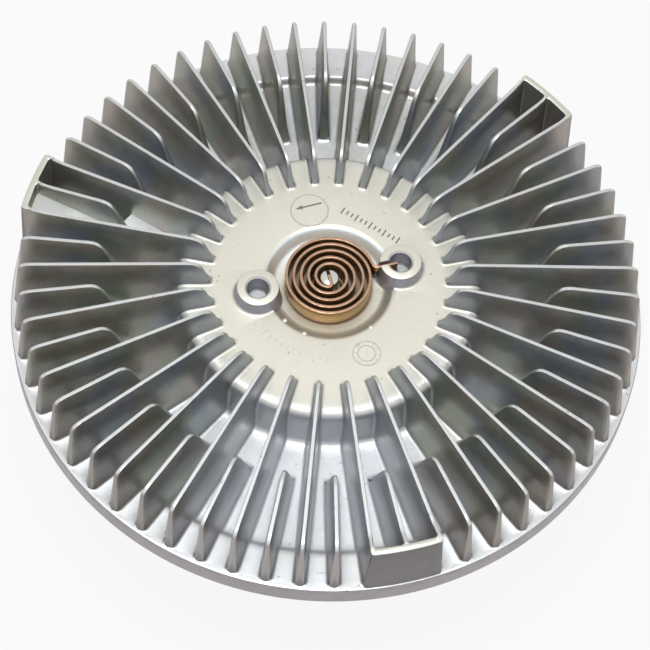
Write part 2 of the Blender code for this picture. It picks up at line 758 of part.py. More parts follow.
def rear_body(parent):
    """Body casting: bearing seat, annular lands, clamping flange, ribs and fan pads."""
    body = turned(body_profile(), RIM_FACETS, RIM_PHASE)
    body = combined(body, rear_ribs(), "UNION")
    pads = []
    holes = []
    for index in range(PAD_COUNT):
        centre = polar(PAD_CIRCLE, pad_angle(index))
        pad = circle(PAD_RADIUS, SMALL_FACETS, centre)
        pads.append(extruded(pad, Z_PAD, Z_WEB_REAR + BODY_WEB / 2))
        hole = circle(STUD_RADIUS + FIT, TINY_FACETS, centre)
        holes.append(extruded(hole, Z_PAD - PAD_HEIGHT, Z_PAD + STUD_GRIP + FIT))
    body = combined(body, together(pads), "UNION")
    body = combined(body, together(holes), "DIFFERENCE")
    return piece("rear_body", body, CAST_ALUMINIUM, parent)


def fan_studs(parent):
    """Studs in the pads, for the fan's nuts."""
    chamfer = STUD_RADIUS / 5
    for index in range(PAD_COUNT):
        foot = Z_PAD - STUD_REACH
        head = Z_PAD + STUD_GRIP
        profile = [
            (0, foot),
            (STUD_RADIUS - chamfer, foot),
            (STUD_RADIUS, foot + chamfer),
            (STUD_RADIUS, head),
            (0, head),
        ]
        centre = polar(PAD_CIRCLE, pad_angle(index))
        stud = moved(turned(profile, TINY_FACETS), centre)
        piece(f"fan_stud_{index + 1}", stud, PLATED_STEEL, parent, centre)


def cover_seal_ring(parent):
    """Rubber ring in the flange's groove, under the cover."""
    middle = R_FLANGE - SEAL_INSET
    height = Z_FLANGE - SEAL_RADIUS - FIT / 2
    around = circle(SEAL_RADIUS, 5, (middle, height))
    ring = turned(around, RIM_FACETS, RIM_PHASE)
    return piece("cover_seal_ring", ring, BLACK_RUBBER, parent)


# Front cover


def cover_profile():
    """Section of the front cover in (radius, height), without its fins."""
    step_outer = RIM_RADIUS - RING_WIDTH + RING_SLOPE / 2
    crimp_rear = Z_CRIMP - CRIMP_THICKNESS
    corners = [
        (R_BUSH + FIT, Z_DISH, 0),
        (DISH_FLOOR_RADIUS, Z_DISH, 0),
        (DISH_RIM_RADIUS, Z_PLATEAU, 0),
        (PLATEAU_RADIUS, Z_PLATEAU, PLATEAU_ROUND),
        (PLATEAU_RADIUS + SHOULDER_SLOPE, Z_FLOOR, SHOULDER_FILLET),
        (step_outer - RING_SLOPE, Z_FLOOR, 0),
        (step_outer, Z_RING, 0),
        (RIM_RADIUS, Z_RING, 0.7 * MM),
        (RIM_RADIUS, crimp_rear, 0.7 * MM),
        (R_SKIRT - CRIMP_REACH, crimp_rear, 0),
        (R_SKIRT - CRIMP_REACH, Z_CRIMP, 0),
        (R_SKIRT, Z_CRIMP, 0),
        (R_SKIRT, Z_ROOF, 0),
        (R_WALL - FIT, Z_ROOF, 0),
        (R_WALL - FIT, Z_COVER_REAR, 0),
        (R_RESERVOIR + SHOULDER_SLOPE, Z_COVER_REAR, 0),
        (R_RESERVOIR, Z_PLATEAU - COVER_WALL, 0),
        (DISH_RIM_RADIUS + COVER_WALL / 3, Z_PLATEAU - COVER_WALL, 0),
        (DISH_FLOOR_RADIUS + COVER_WALL / 3, Z_DISH - COVER_WALL, 0),
        (R_BUSH + FIT + COVER_WALL, Z_DISH - COVER_WALL, 0),
        (R_BUSH + FIT + COVER_WALL, Z_BUSH_REAR, 0),
        (R_BUSH + FIT, Z_BUSH_REAR, 0),
    ]
    return rounded(corners)


def fin_outline(start, lean, foot_height, buried):
    """Fin in (radius, height): leaning inner end, long falling top edge, rounded outer end."""
    top = Z_RING + FIN_RISE
    fall = FIN_FALL / (R_FIN_END - R_LONG_FIN)
    inner = start + lean
    outer = R_FIN_END - FIN_OUTER_LEAN

    def top_at(radius):
        return top - fall * (radius - R_LONG_FIN)

    inner_top = Vector((inner + FIN_INNER_ROUND.x, top_at(inner + FIN_INNER_ROUND.x)))
    outer_top = Vector((outer - FIN_OUTER_ROUND.x, top_at(outer - FIN_OUTER_ROUND.x)))
    points = [Vector((start, foot_height))]
    points += bend(
        Vector((inner, top_at(inner) - FIN_INNER_ROUND.y)),
        Vector((inner + lean / 2, top_at(inner))),
        inner_top,
    )
    points += bend(
        outer_top,
        Vector((outer, top_at(outer))),
        Vector((outer, top_at(outer) - FIN_OUTER_ROUND.y)),
    )
    points.append(Vector((R_FIN_END, Z_RING)))
    return points + buried


def cover_fins():
    """All fins of the cover, alternately long and short, with their feet inside the casting."""
    step_outer = RIM_RADIUS - RING_WIDTH + RING_SLOPE / 2
    half = COVER_WALL / 2
    ring_root = [
        Vector((R_FIN_END, Z_RING - ROOF_THICKNESS / 2)),
        Vector((step_outer, Z_RING - ROOF_THICKNESS / 2)),
        Vector((step_outer - RING_SLOPE, Z_FLOOR - half)),
    ]
    shoulder_root = [
        Vector((PLATEAU_RADIUS + SHOULDER_SLOPE - half / 2, Z_FLOOR - half)),
        Vector((PLATEAU_RADIUS - half / 2, Z_PLATEAU - half)),
        Vector((R_LONG_FIN, Z_PLATEAU - half)),
    ]
    long_fin = fin_outline(R_LONG_FIN, LONG_FIN_LEAN, Z_PLATEAU, ring_root + shoulder_root)
    short_root = ring_root + [Vector((R_SHORT_FIN, Z_FLOOR - half))]
    short_fin = fin_outline(R_SHORT_FIN, SHORT_FIN_LEAN, Z_FLOOR, short_root)
    pitch = 360 / FIN_PAIRS
    tip = Z_RING + FIN_RISE
    fins = []
    for pair in range(FIN_PAIRS):
        angle = FIN_START_ANGLE + pair * pitch
        fins.append(drafted_rib(long_fin, angle, FIN_TIP, FIN_DRAFT, tip))
        fins.append(drafted_rib(short_fin, angle + pitch / 2, FIN_TIP, FIN_DRAFT, tip))
    return together(fins)


def lug_outline(taper=0.0):
    """Plan of one lug: a wall across three fins, with rounded pocket corners, about angle 0."""
    outer = RIM_RADIUS - LUG_MARGIN - taper
    inner = RIM_RADIUS - LUG_MARGIN - LUG_WALL
    span = 180 / FIN_PAIRS
    fin_half = math.degrees(FIN_TIP / inner)
    corner = math.degrees(LUG_FILLET / inner)
    arc = [(outer, span * (step / 2 - 1) + fin_half * (step - 2) / 2) for step in range(5)]
    arc[-1] = (outer, span + fin_half)
    back = []
    for low, high in ((0, span), (-span, 0)):
        back += [
            (inner - LUG_FILLET, high - fin_half),
            (inner - LUG_FILLET / 3, high - fin_half - corner / 3),
            (inner, high - fin_half - corner),
            (inner, low + fin_half + corner),
            (inner - LUG_FILLET / 3, low + fin_half + corner / 3),
            (inner - LUG_FILLET, low + fin_half),
        ]
    closing = [(inner - LUG_FILLET, span + fin_half / 2)] + back
    closing.append((inner - LUG_FILLET, -span - fin_half / 2))
    return [tuple(polar(radius, angle)[:2]) for radius, angle in arc + closing]


def chucking_lugs():
    """The three outer walls that close two fin pockets each."""
    lugs = []
    for index in range(LUG_COUNT):
        low = lug_outline()
        high = lug_outline(LUG_TAPER)
        solid = extruded(low, Z_RING - ROOF_THICKNESS / 2, Z_RING + LUG_RISE, high)
        lugs.append(moved(solid, (0, 0, 0), LUG_START_ANGLE + index * 360 / LUG_COUNT))
    return together(lugs)


def boss_angles():
    """Directions of the two bosses, the coil's anchor first."""
    return (BOSS_ANGLE, BOSS_ANGLE + 180)


def coil_bosses():
    """Tapered bosses either side of the coil."""
    top = Z_RING + BOSS_RISE
    foot = Z_DISH - COVER_WALL / 2
    profile = [
        (0, foot),
        (BOSS_FOOT_RADIUS, foot),
        (BOSS_TOP_RADIUS, top - BOSS_CHAMFER),
        (BOSS_TOP_RADIUS - BOSS_CHAMFER, top),
        (0, top),
    ]
    bosses = []
    for angle in boss_angles():
        bosses.append(moved(turned(profile, SMALL_FACETS), polar(BOSS_CIRCLE, angle)))
    return together(bosses)


def boss_holes():
    """Chamfered blind holes of the bosses."""
    top = Z_RING + BOSS_RISE
    profile = [
        (0, top - BOSS_HOLE_DEPTH),
        (BOSS_HOLE_RADIUS, top - BOSS_HOLE_DEPTH),
        (BOSS_HOLE_RADIUS, top - BOSS_CHAMFER),
        (BOSS_HOLE_RADIUS + 2 * BOSS_CHAMFER, top + BOSS_CHAMFER),
        (0, top + BOSS_CHAMFER),
    ]
    holes = []
    for angle in boss_angles():
        holes.append(moved(turned(profile, SMALL_FACETS), polar(BOSS_CIRCLE, angle)))
    return together(holes)


def anchor_notch():
    """Slot from the dish into the first boss, for the coil's outer end."""
    half = COIL_STRIP / 2 + FIT
    start = COIL_RADIUS + COIL_STRIP / 2
    outline = [(start, -half), (BOSS_CIRCLE, -half), (BOSS_CIRCLE, half), (start, half)]
    notch = extruded(outline, Z_DISH - FIT, Z_RING + BOSS_RISE + COVER_WALL)
    return moved(notch, (0, 0, 0), BOSS_ANGLE)


def screw_angle(index):
    """Direction of a separator plate screw."""
    return 20 + index * 360 / SCREW_COUNT


def screw_circle():
    """Radius at which the screws hold the separator plate to the cover's floor."""
    return (R_SEPARATOR + R_RESERVOIR + SHOULDER_SLOPE) / 2 + FIT


def screw_holes(clearance, start, end):
    """Holes for the separator plate's screws."""
    holes = []
    for index in range(SCREW_COUNT):
        centre = polar(screw_circle(), screw_angle(index))
        outline = circle(SCREW_RADIUS + clearance, TINY_FACETS, centre)
        holes.append(extruded(outline, start, end))
    return together(holes)


def oil_return():
    """Groove under the cover that leads the wiped-off oil back to the reservoir."""
    inner = PLATEAU_RADIUS - 2 * COVER_WALL
    outer = R_PLATE - WIPER_LENGTH
    half = COVER_WALL / 3
    outline = [(inner, -half), (outer, -half), (outer, half), (inner, half)]
    groove = extruded(outline, Z_COVER_REAR - COVER_WALL, Z_COVER_REAR + COVER_WALL / 3)
    return moved(groove, (0, 0, 0), WIPER_ANGLE - WIPER_SPREAD)


def front_cover(parent):
    """Finned cover casting with its crimped skirt, plateau, coil dish, lugs and bosses."""
    cover = turned(cover_profile(), RIM_FACETS, RIM_PHASE)
    cover = combined(cover, cover_fins(), "UNION")
    cover = combined(cover, chucking_lugs(), "UNION")
    cover = combined(cover, coil_bosses(), "UNION")
    cover = combined(cover, boss_holes(), "DIFFERENCE")
    cover = combined(cover, anchor_notch(), "DIFFERENCE")
    grip = screw_holes(FIT, Z_COVER_REAR - COVER_WALL, Z_COVER_REAR + SCREW_GRIP + FIT)
    cover = combined(cover, grip, "DIFFERENCE")
    cover = combined(cover, oil_return(), "DIFFERENCE")
    return piece("front_cover", cover, CAST_ALUMINIUM, parent)


# Reservoir


def separator_plate(parent):
    """Steel plate that closes the reservoir, with its two feed ports."""
    end = Z_SEPARATOR + SEPARATOR_THICKNESS
    disc = extruded(circle(R_SEPARATOR, PLATE_FACETS), Z_SEPARATOR, end)
    low = Z_SEPARATOR - SEPARATOR_THICKNESS
    high = end + SEPARATOR_THICKNESS
    disc = combined(disc, screw_holes(FIT, low, high), "DIFFERENCE")
    ports = []
    for turn in (0, 180):
        outline = circle(PORT_RADIUS, TINY_FACETS, polar(R_PORTS, ARM_ANGLE + turn))
        ports.append(extruded(outline, low, high))
    disc = combined(disc, together(ports), "DIFFERENCE")
    return piece("separator_plate", disc, PLATED_STEEL, parent)


def separator_screws(parent):
    """Pan-head screws that hold the separator plate to the cover."""
    seat = Z_SEPARATOR - FIT
    for index in range(SCREW_COUNT):
        profile = [
            (0, seat - SCREW_HEAD_HEIGHT),
            (SCREW_HEAD_RADIUS * 0.8, seat - SCREW_HEAD_HEIGHT),
            (SCREW_HEAD_RADIUS, seat - SCREW_HEAD_HEIGHT / 2),
            (SCREW_HEAD_RADIUS, seat),
            (SCREW_RADIUS, seat),
            (SCREW_RADIUS, Z_COVER_REAR + SCREW_GRIP),
            (0, Z_COVER_REAR + SCREW_GRIP),
        ]
        centre = polar(screw_circle(), screw_angle(index))
        screw = moved(turned(profile, TINY_FACETS), centre)
        piece(f"separator_screw_{index + 1}", screw, PLATED_STEEL, parent, centre)


def wiper(parent):
    """Block under the cover's floor that wipes oil off the plate into the return groove."""
    outline = sector(R_PLATE - WIPER_LENGTH, R_PLATE, WIPER_ANGLE, WIPER_SPREAD, 4)
    top = Z_COVER_REAR - FIT
    return piece("wiper", extruded(outline, top - WIPER_THICKNESS, top), BROWN_NYLON, parent)


# Valve


def valve_bushing(parent):
    """Bronze bushing of the valve shaft, flanged at the rear."""
    bore = VALVE_JOURNAL + FIT
    profile = [
        (bore, Z_DISH),
        (bore, Z_BUSH_REAR - FIT - BUSH_FLANGE),
        (R_BUSH + BUSH_FLANGE, Z_BUSH_REAR - FIT - BUSH_FLANGE),
        (R_BUSH + BUSH_FLANGE, Z_BUSH_REAR - FIT),
        (R_BUSH, Z_BUSH_REAR - FIT),
        (R_BUSH, Z_DISH),
    ]
    return piece("valve_bushing", turned(profile, SMALL_FACETS), BRONZE, parent)


def square(side):
    """Plan outline of a square about the axis."""
    half = side / 2
    return [(-half, -half), (half, -half), (half, half), (-half, half)]


def valve_shaft(parent):
    """Valve spindle: slotted tip in the coil, sealed journal and square end for the arm."""
    tip = Z_RING + VALVE_TIP_RISE
    journal_rear = Z_ARM + ARM_THICKNESS + FIT
    groove_mid = (Z_DISH + Z_BUSH_REAR) / 2
    groove_half = VALVE_SEAL / 2 + FIT
    groove_radius = VALVE_JOURNAL - VALVE_SEAL - FIT
    profile = [
        (0, journal_rear),
        (VALVE_JOURNAL, journal_rear),
        (VALVE_JOURNAL, groove_mid - groove_half),
        (groove_radius, groove_mid - groove_half),
        (groove_radius, groove_mid + groove_half),
        (VALVE_JOURNAL, groove_mid + groove_half),
        (VALVE_JOURNAL, Z_DISH - FIT),
        (VALVE_TIP, Z_DISH - FIT),
        (VALVE_TIP, tip - VALVE_TIP / 8),
        (VALVE_TIP - VALVE_TIP / 8, tip),
        (0, tip),
    ]
    shaft = turned(profile, SMALL_FACETS)
    drive = moved(extruded(square(VALVE_SQUARE), Z_ARM - ARM_FOOT, journal_rear + FIT), angle=ARM_ANGLE)
    shaft = combined(shaft, drive, "UNION")
    half = COIL_STRIP / 2 + FIT
    reach = 2 * VALVE_TIP
    slot = [(-reach, -half), (reach, -half), (reach, half), (-reach, half)]
    cut = extruded(slot, coil_foot() - FIT, tip + VALVE_TIP)
    shaft = combined(shaft, moved(cut, angle=coil_slot_angle()), "DIFFERENCE")
    return piece("valve_shaft", shaft, BRIGHT_STEEL, parent)


def valve_arm(parent):
    """Two-ended spring arm that covers the separator plate's ports."""
    paddle = circle(ARM_PADDLE_RADIUS, TINY_FACETS)
    top = Z_ARM + ARM_THICKNESS
    half = ARM_WIDTH / 2
    strip = [(-R_PORTS, -half), (R_PORTS, -half), (R_PORTS, half), (-R_PORTS, half)]
    arm = extruded(strip, Z_ARM, top)
    ends = [moved(extruded(paddle, Z_ARM, top), (end, 0, 0)) for end in (-R_PORTS, R_PORTS)]
    arm = combined(arm, together(ends), "UNION")
    hole = extruded(square(VALVE_SQUARE + 2 * FIT), Z_ARM - FIT, top + FIT)
    arm = combined(arm, hole, "DIFFERENCE")
    return piece("valve_arm", moved(arm, angle=ARM_ANGLE), BRIGHT_STEEL, parent)


def valve_seal_ring(parent):
    """Rubber ring in the valve shaft's groove."""
    middle = VALVE_JOURNAL - VALVE_SEAL / 2
    around = circle(VALVE_SEAL / 2, 5, (middle, (Z_DISH + Z_BUSH_REAR) / 2))
    return piece("valve_seal_ring", turned(around, SMALL_FACETS), BLACK_RUBBER, parent)


def coil_foot():
    """Height of the coil's lower edge, just over the dish."""
    return Z_DISH + FIT


def coil_slot_angle():
    """Direction from which the coil's inner end enters the valve shaft's slot."""
    return BOSS_ANGLE + 360 * COIL_TURNS


def coil_line():
    """Middle line of the bimetal strip, from its anchor in the boss to the valve shaft's slot."""
    anchor = BOSS_CIRCLE - BOSS_HOLE_RADIUS / 2
    line = [polar(anchor, BOSS_ANGLE), polar(COIL_RADIUS + COIL_BEND, BOSS_ANGLE)]
    inner = VALVE_TIP + FIT + COIL_STRIP / 2
    lead = math.degrees(COIL_BEND / COIL_RADIUS)
    tail = math.degrees(COIL_BEND / inner)
    steps = round(COIL_STEPS * COIL_TURNS)
    for step in range(steps + 1):
        share = step / steps
        angle = BOSS_ANGLE + lead + share * (360 * COIL_TURNS - lead - tail)
        line.append(polar(COIL_RADIUS + share * (inner - COIL_RADIUS), angle))
    slot = coil_slot_angle()
    return line + [polar(inner, slot), polar(VALVE_TIP * 0.9, slot + 180)]


def bimetal_coil(parent):
    """Flat spiral of bimetal strip that turns the valve as it warms."""
    line = coil_line()
    half = COIL_STRIP / 2
    left = []
    right = []
    for index, point in enumerate(line):
        before = line[max(index - 1, 0)]
        after = line[min(index + 1, len(line) - 1)]
        way_in = (point - before).normalized() if index else (after - point).normalized()
        way_out = (after - point).normalized() if index < len(line) - 1 else way_in
        along = (way_in + way_out).normalized()
        across = Vector((-along.y, along.x, 0)) * half / max(0.5, along.dot(way_in))
        left.append(point + across)
        right.append(point - across)
    foot = coil_foot()
    bm = bmesh.new()
    rails = []
    for height in (foot, foot + COIL_HEIGHT):
        for side in (left, right):
            rails.append([bm.verts.new((p.x, p.y, height)) for p in side])
    low_left, low_right, high_left, high_right = rails
    for a, b in (
        (low_left, low_right),
        (low_right, high_right),
        (high_right, high_left),
        (high_left, low_left),
    ):
        for index in range(len(line) - 1):
            bm.faces.new((a[index], b[index], b[index + 1], a[index + 1]))
    for end in (0, -1):
        bm.faces.new([rail[end] for rail in (low_left, low_right, high_right, high_left)])
    bmesh.ops.recalc_face_normals(bm, faces=bm.faces)
    return piece("bimetal_coil", bm, BIMETAL, parent)


def clear_scene():
    for leftover in list(bpy.data.objects):
        bpy.data.objects.remove(leftover)


def main():
    clear_scene()
    drive = axis_empty("drive_axis")
    housing = axis_empty("housing_axis", drive)
    balls = axis_empty("ball_axis", drive)
    valve = axis_empty("valve_axis", housing)
    for make in (drive_shaft, clutch_plate, plate_retaining_ring, bearing_inner_race):
        make(drive)
    for make in (bearing_cage, bearing_balls):
        make(balls)
    for make in (
        bearing_outer_race,
        bearing_seals,
        bearing_clip,
        rear_body,
        fan_studs,
        cover_seal_ring,
        front_cover,
        separator_plate,
        separator_screws,
        wiper,
        valve_bushing,
        bimetal_coil,
    ):
        make(housing)
    for make in (valve_shaft, valve_arm, valve_seal_ring):
        make(valve)


main()
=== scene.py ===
"""Finely shaped pieces, materials and studio of a viscous fan clutch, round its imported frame.

The pieces that show are modelled here at full detail: front cover, coil, valve spindle and its
bushing, rear body, fan studs, drive hub, and the bearing's races, seals and circlip. The pieces
inside keep their CAD shape and get their own materials.
"""

import json
import math

import bmesh
import bpy
from bpy.props import FloatProperty, FloatVectorProperty, IntProperty, PointerProperty
from bpy.types import Operator, Panel, PropertyGroup
from mathutils import Matrix, Vector
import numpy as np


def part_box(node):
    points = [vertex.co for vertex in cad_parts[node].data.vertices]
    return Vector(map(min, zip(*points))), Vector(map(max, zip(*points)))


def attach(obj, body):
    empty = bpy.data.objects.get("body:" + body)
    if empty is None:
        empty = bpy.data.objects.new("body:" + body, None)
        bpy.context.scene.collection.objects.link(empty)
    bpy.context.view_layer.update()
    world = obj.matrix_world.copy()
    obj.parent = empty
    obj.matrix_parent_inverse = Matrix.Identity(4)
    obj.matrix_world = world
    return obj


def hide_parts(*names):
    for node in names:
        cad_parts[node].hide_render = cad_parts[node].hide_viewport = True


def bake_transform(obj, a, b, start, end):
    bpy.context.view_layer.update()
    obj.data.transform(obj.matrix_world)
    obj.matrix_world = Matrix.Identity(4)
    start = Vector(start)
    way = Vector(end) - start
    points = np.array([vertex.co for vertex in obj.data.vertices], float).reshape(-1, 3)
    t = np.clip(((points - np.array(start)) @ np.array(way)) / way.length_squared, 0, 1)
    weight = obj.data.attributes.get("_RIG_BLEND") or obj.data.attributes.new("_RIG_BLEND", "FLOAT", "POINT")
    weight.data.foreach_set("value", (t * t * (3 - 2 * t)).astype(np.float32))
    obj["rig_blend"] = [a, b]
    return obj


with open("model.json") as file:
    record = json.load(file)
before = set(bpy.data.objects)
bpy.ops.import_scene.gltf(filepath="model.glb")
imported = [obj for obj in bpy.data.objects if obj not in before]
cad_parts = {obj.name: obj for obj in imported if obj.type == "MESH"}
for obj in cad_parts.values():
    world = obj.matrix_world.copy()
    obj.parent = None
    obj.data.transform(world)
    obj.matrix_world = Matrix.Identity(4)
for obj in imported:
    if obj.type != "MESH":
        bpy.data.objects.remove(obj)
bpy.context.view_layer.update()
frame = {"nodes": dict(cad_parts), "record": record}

bl_info = {
    "name": "Viscous fan clutch",
    "version": (1, 0, 0),
    "blender": (4, 5, 0),
    "location": "3D View > Sidebar > Fan Clutch",
    "description": "Finned fan clutch with its bimetal coil, drive hub and white studio",
    "category": "Object",
}

MM = 0.001
FIT = 0.3 * MM  # clearance that the CAD solids keep

# Heights above the hub's end
Z_RING = 72 * MM
Z_FLOOR = 69.5 * MM
Z_PLATEAU = 84.9 * MM
Z_DISH = 81.3 * MM
Z_FIN_TOP = 96.9 * MM
Z_LUG_TOP = 96.7 * MM
Z_BOSS_TOP = 90 * MM
Z_CRIMP_REAR = 62.9 * MM
Z_CRIMP = 64.6 * MM
Z_ROOF = 69 * MM
Z_COVER_REAR = 65.5 * MM
Z_BUSH_REAR = 70.5 * MM
Z_WEB_REAR = 45 * MM
Z_BODY_FLOOR = 50.3 * MM
Z_FLANGE = 68.7 * MM
Z_FLANGE_REAR = 64.9 * MM
Z_PAD = 33.5 * MM
Z_TAIL = 25.9 * MM
Z_CLIP = 28.1 * MM
Z_SHOULDER = 29.7 * MM
Z_BEARING_REAR = 30 * MM
Z_BEARING_FRONT = 47 * MM
Z_SHAFT_END = 63.1 * MM

# Radii of the front cover
R_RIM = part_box("front_cover")[1].x - 0.04 * MM
R_PLATEAU = 54.4 * MM
R_DISH = 19.9 * MM
R_DISH_RIM = 23.3 * MM
DISH_ROUND = 1.3 * MM
R_STEP = 98.1 * MM
R_STEP_TOP = 99.9 * MM
R_CRIMP = 107.5 * MM
R_SKIRT = 110.5 * MM
R_FIN_END = 112.8 * MM
R_CORE = 38.2 * MM  # inside it the cover is turned, outside it repeats with the fins
R_FIN_START = 39.2 * MM
R_LIP = R_CRIMP + 0.8 * MM  # where the rim is crimped over the body
R_BORE = 6.8 * MM

# Fins
FIN_PAIRS = 30
FIN_START_ANGLE = 5
FIN_ANGLE = 180 / FIN_PAIRS  # from a long fin to the next short one
HALF_PITCH = math.radians(FIN_ANGLE)
FIN_DRAFT = math.tan(math.radians(3.1))
FIN_FALL = 1.4 * MM
LONG_FIN_START = 41.6 * MM
LONG_FIN_LEAN = 2.4 * MM
SHORT_FIN_START = 71.4 * MM
SHORT_FIN_LEAN = 7.6 * MM
FIN_OUTER_LEAN = 2.7 * MM

# Lugs and bosses
LUG_ANGLES = (47, 167, 287)
BOSS_ANGLES = (17.25, 197.25)
BOSS_CIRCLE = 26.1 * MM
BOSS_FOOT_RADIUS = 8.9 * MM
BOSS_TOP_RADIUS = 7.5 * MM
BOSS_HOLE = 4 * MM

# Rear body and hub
SEAL_CIRCLE = 107 * MM
LAND_COUNT = 3
FAN_CIRCLE = 72 * MM
FAN_PAD_ANGLES = (45, 135, 225, 315)
HEX_HEIGHT = 18 * MM

# Coil and valve
COIL_TURNS = 4.75
COIL_RADIUS = 16.5 * MM
COIL_FOOT = 81.6 * MM
COIL_TOP = 88.6 * MM
ANCHOR_ANGLE = BOSS_ANGLES[0] + 1.4  # the strip lies beside the boss's middle
SLOT_ANGLE = ANCHOR_ANGLE + 360 * COIL_TURNS
VALVE_TIP = 3.4 * MM
Z_VALVE_TIP = 88.4 * MM
ARM_SQUARE_ANGLE = 106


# Settings


def tint(name, description, colour):
    """Colour setting."""
    return FloatVectorProperty(
        name=name, description=description, default=colour, subtype="COLOR", min=0, max=1
    )


def measure(name, description, size):
    """Length setting."""
    return FloatProperty(name=name, description=description, default=size, unit="LENGTH")


class CoverSettings(PropertyGroup):
    """Shape and colour of the finned front cover."""

    fin_tip: measure("Fin tip", "Thickness of a fin at its top edge", 1.3 * MM)
    root_fillet: measure("Root fillet", "Radius where a fin meets the casting", 1.0 * MM)
    casting: tint("Casting", "Colour of the plateau's cast skin", (0.79, 0.755, 0.65))
    floor: tint("Floor", "Colour of the skin between the fins", (0.84, 0.85, 0.87))
    # The steep faces' colours below are darker than the casting, partly from the skin's own tone and partly
    # as painted shade.
    fin_side: tint("Fin sides", "Colour of the fins' steep sides", (0.435, 0.437, 0.427))
    # Painted sheen: a paler, cooler colour for the fins' sides toward the front, standing in for the light
    # they reflect there.
    painted_front_sheen: tint("Painted front sheen", "Colour of the fins' sides toward the front, paled by a painted sheen", (0.69, 0.7, 0.73))
    shoulder: tint("Shoulder", "Colour of the steep walls round the plateau and bosses", (0.43, 0.45, 0.485))
    fin_end: tint("Fin ends", "Colour of the fins' outer ends", (0.25, 0.24, 0.245))
    boss_side: tint("Boss sides", "Colour of the bosses' outer walls", (0.43, 0.43, 0.51))
    # Painted shade: the bosses' bore walls get this dark colour.
    bore: tint("Bores", "Colour of the bosses' bores", (0.21, 0.21, 0.245))
    lug_side: tint("Lug sides", "Colour of the lugs' outer walls", (0.2, 0.185, 0.185))
    fin_top: tint("Fin tops", "Colour of the worn top edges", (0.64, 0.64, 0.63))
    lug_top: tint("Lug tops", "Colour of the lugs' upper ends", (0.66, 0.67, 0.575))
    rim: tint("Rim", "Colour of the turned rim", (0.42, 0.38, 0.395))
    stain: tint("Stain", "Brown film on the recess floor under the coil", (0.36, 0.24, 0.15))


class CoilSettings(PropertyGroup):
    """Shape and colour of the bimetal coil."""

    strip: measure("Strip", "Thickness of the bimetal strip", 1.1 * MM)
    edge: tint("Edge", "Colour of the strip's sheared edge", (0.54, 0.335, 0.22))
    face: tint("Face", "Colour of the strip's rolled face", (0.5, 0.31, 0.13))
    # Painted shade: the strip's faces go this dark deep between the turns.
    gap: tint("Gap", "Colour deep between the turns", (0.055, 0.02, 0.006))


class BodySettings(PropertyGroup):
    """Rear body and drive hub."""

    ribs: IntProperty(name="Ribs", description="Cooling ribs behind the body", default=16, min=4, max=40)
    casting: tint("Casting", "Colour of the body's cast skin", (0.6, 0.595, 0.575))
    # Darker than the casting, partly the skin's own tone and partly painted shade.
    casting_side: tint("Casting sides", "Colour of the body's steep cast walls", (0.24, 0.24, 0.23))
    turned: tint("Turned faces", "Colour of the body's turned faces", (0.66, 0.655, 0.64))
    steel: tint("Steel", "Colour of the turned steel", (0.46, 0.46, 0.47))


class StudioSettings(PropertyGroup):
    """Lights of the white studio."""

    key: FloatProperty(name="Key", description="Power of the lamp overhead, in watts", default=4.2)
    softbox: measure("Softbox", "Diameter of the lamp overhead", 0.5)
    fill: FloatProperty(name="Fill", description="Strength of the sky's diffuse light", default=0.26)
    backdrop: tint("Backdrop", "Colour of the floor and the sky", (1, 1, 1))


# Mesh helpers


def polar(radius, degrees, height=0.0):
    """Point at a radius and an angle round the axis."""
    turn = math.radians(degrees)
    return Vector((radius * math.cos(turn), radius * math.sin(turn), height))


def bend(start, corner, end, steps):
    """Points of a smooth bend from start to end that heads for the corner between them."""
    curve = []
    for step in range(steps + 1):
        t = step / steps
        curve.append(Vector(start) * (1 - t) ** 2 + Vector(corner) * 2 * t * (1 - t) + Vector(end) * t**2)
    return curve


def in_mm(points):
    """Points given in millimetres."""
    return [(r * MM, z * MM) for r, z in points]


def rounded(corners, steps=4):
    """Open or closed profile through (radius, height, fillet) corners."""
    points = []
    for index, (r, z, fillet) in enumerate(corners):
        here = Vector((r, z))
        if fillet <= 0:
            points.append(here)
            continue
        before = (Vector(corners[index - 1][:2]) - here).normalized()
        after = (Vector(corners[(index + 1) % len(corners)][:2]) - here).normalized()
        points += bend(here + before * fillet, here, here + after * fillet, steps)
    return points


def spun(profile, segments, closed=True):
    """Profile of (radius, height) points turned about Z."""
    bm = bmesh.new()
    points = [bm.verts.new((r, 0, z)) for r, z in profile]
    following = points[1:] + points[:1] if closed else points[1:]
    line = [bm.edges.new(pair) for pair in zip(points, following)]
    bmesh.ops.spin(
        bm, geom=points + line, cent=(0, 0, 0), axis=(0, 0, 1), angle=math.tau, steps=segments, use_merge=True
    )
    bmesh.ops.remove_doubles(bm, verts=bm.verts, dist=1e-7)
    bare = [edge for edge in bm.edges if not edge.link_faces]
    bmesh.ops.delete(bm, geom=bare, context="EDGES")
    bmesh.ops.recalc_face_normals(bm, faces=bm.faces)
    return bm


def lofted(rings):
    """Solid through closed rings of as many points, capped at both ends."""
    bm = bmesh.new()
    loop = [bm.verts.new(point) for point in rings[0]]
    edges = [bm.edges.new(pair) for pair in zip(loop, loop[1:] + loop[:1])]
    bm.faces.new(loop)
    for ring in rings[1:]:
        grown = bmesh.ops.extrude_edge_only(bm, edges=edges)["geom"]
        fresh = {item for item in grown if isinstance(item, bmesh.types.BMVert)}
        loop = [
            next(edge.other_vert(vert) for edge in vert.link_edges if edge.other_vert(vert) in fresh)
            for vert in loop
        ]
        for vert, point in zip(loop, ring):
            vert.co = point
        edges = [item for item in grown if isinstance(item, bmesh.types.BMEdge)]
    bm.faces.new(loop)
    bmesh.ops.recalc_face_normals(bm, faces=bm.faces)
    return bm


def prism(plan, low, high):
    """Upright solid on a plan of points, between two heights."""
    return lofted([[(point[0], point[1], z) for point in plan] for z in (low, high)])


def bar(start, end, half, low, high):
    """Upright bar along X, with half its width given."""
    return prism([(start, -half), (end, -half), (end, half), (start, half)], low, high)


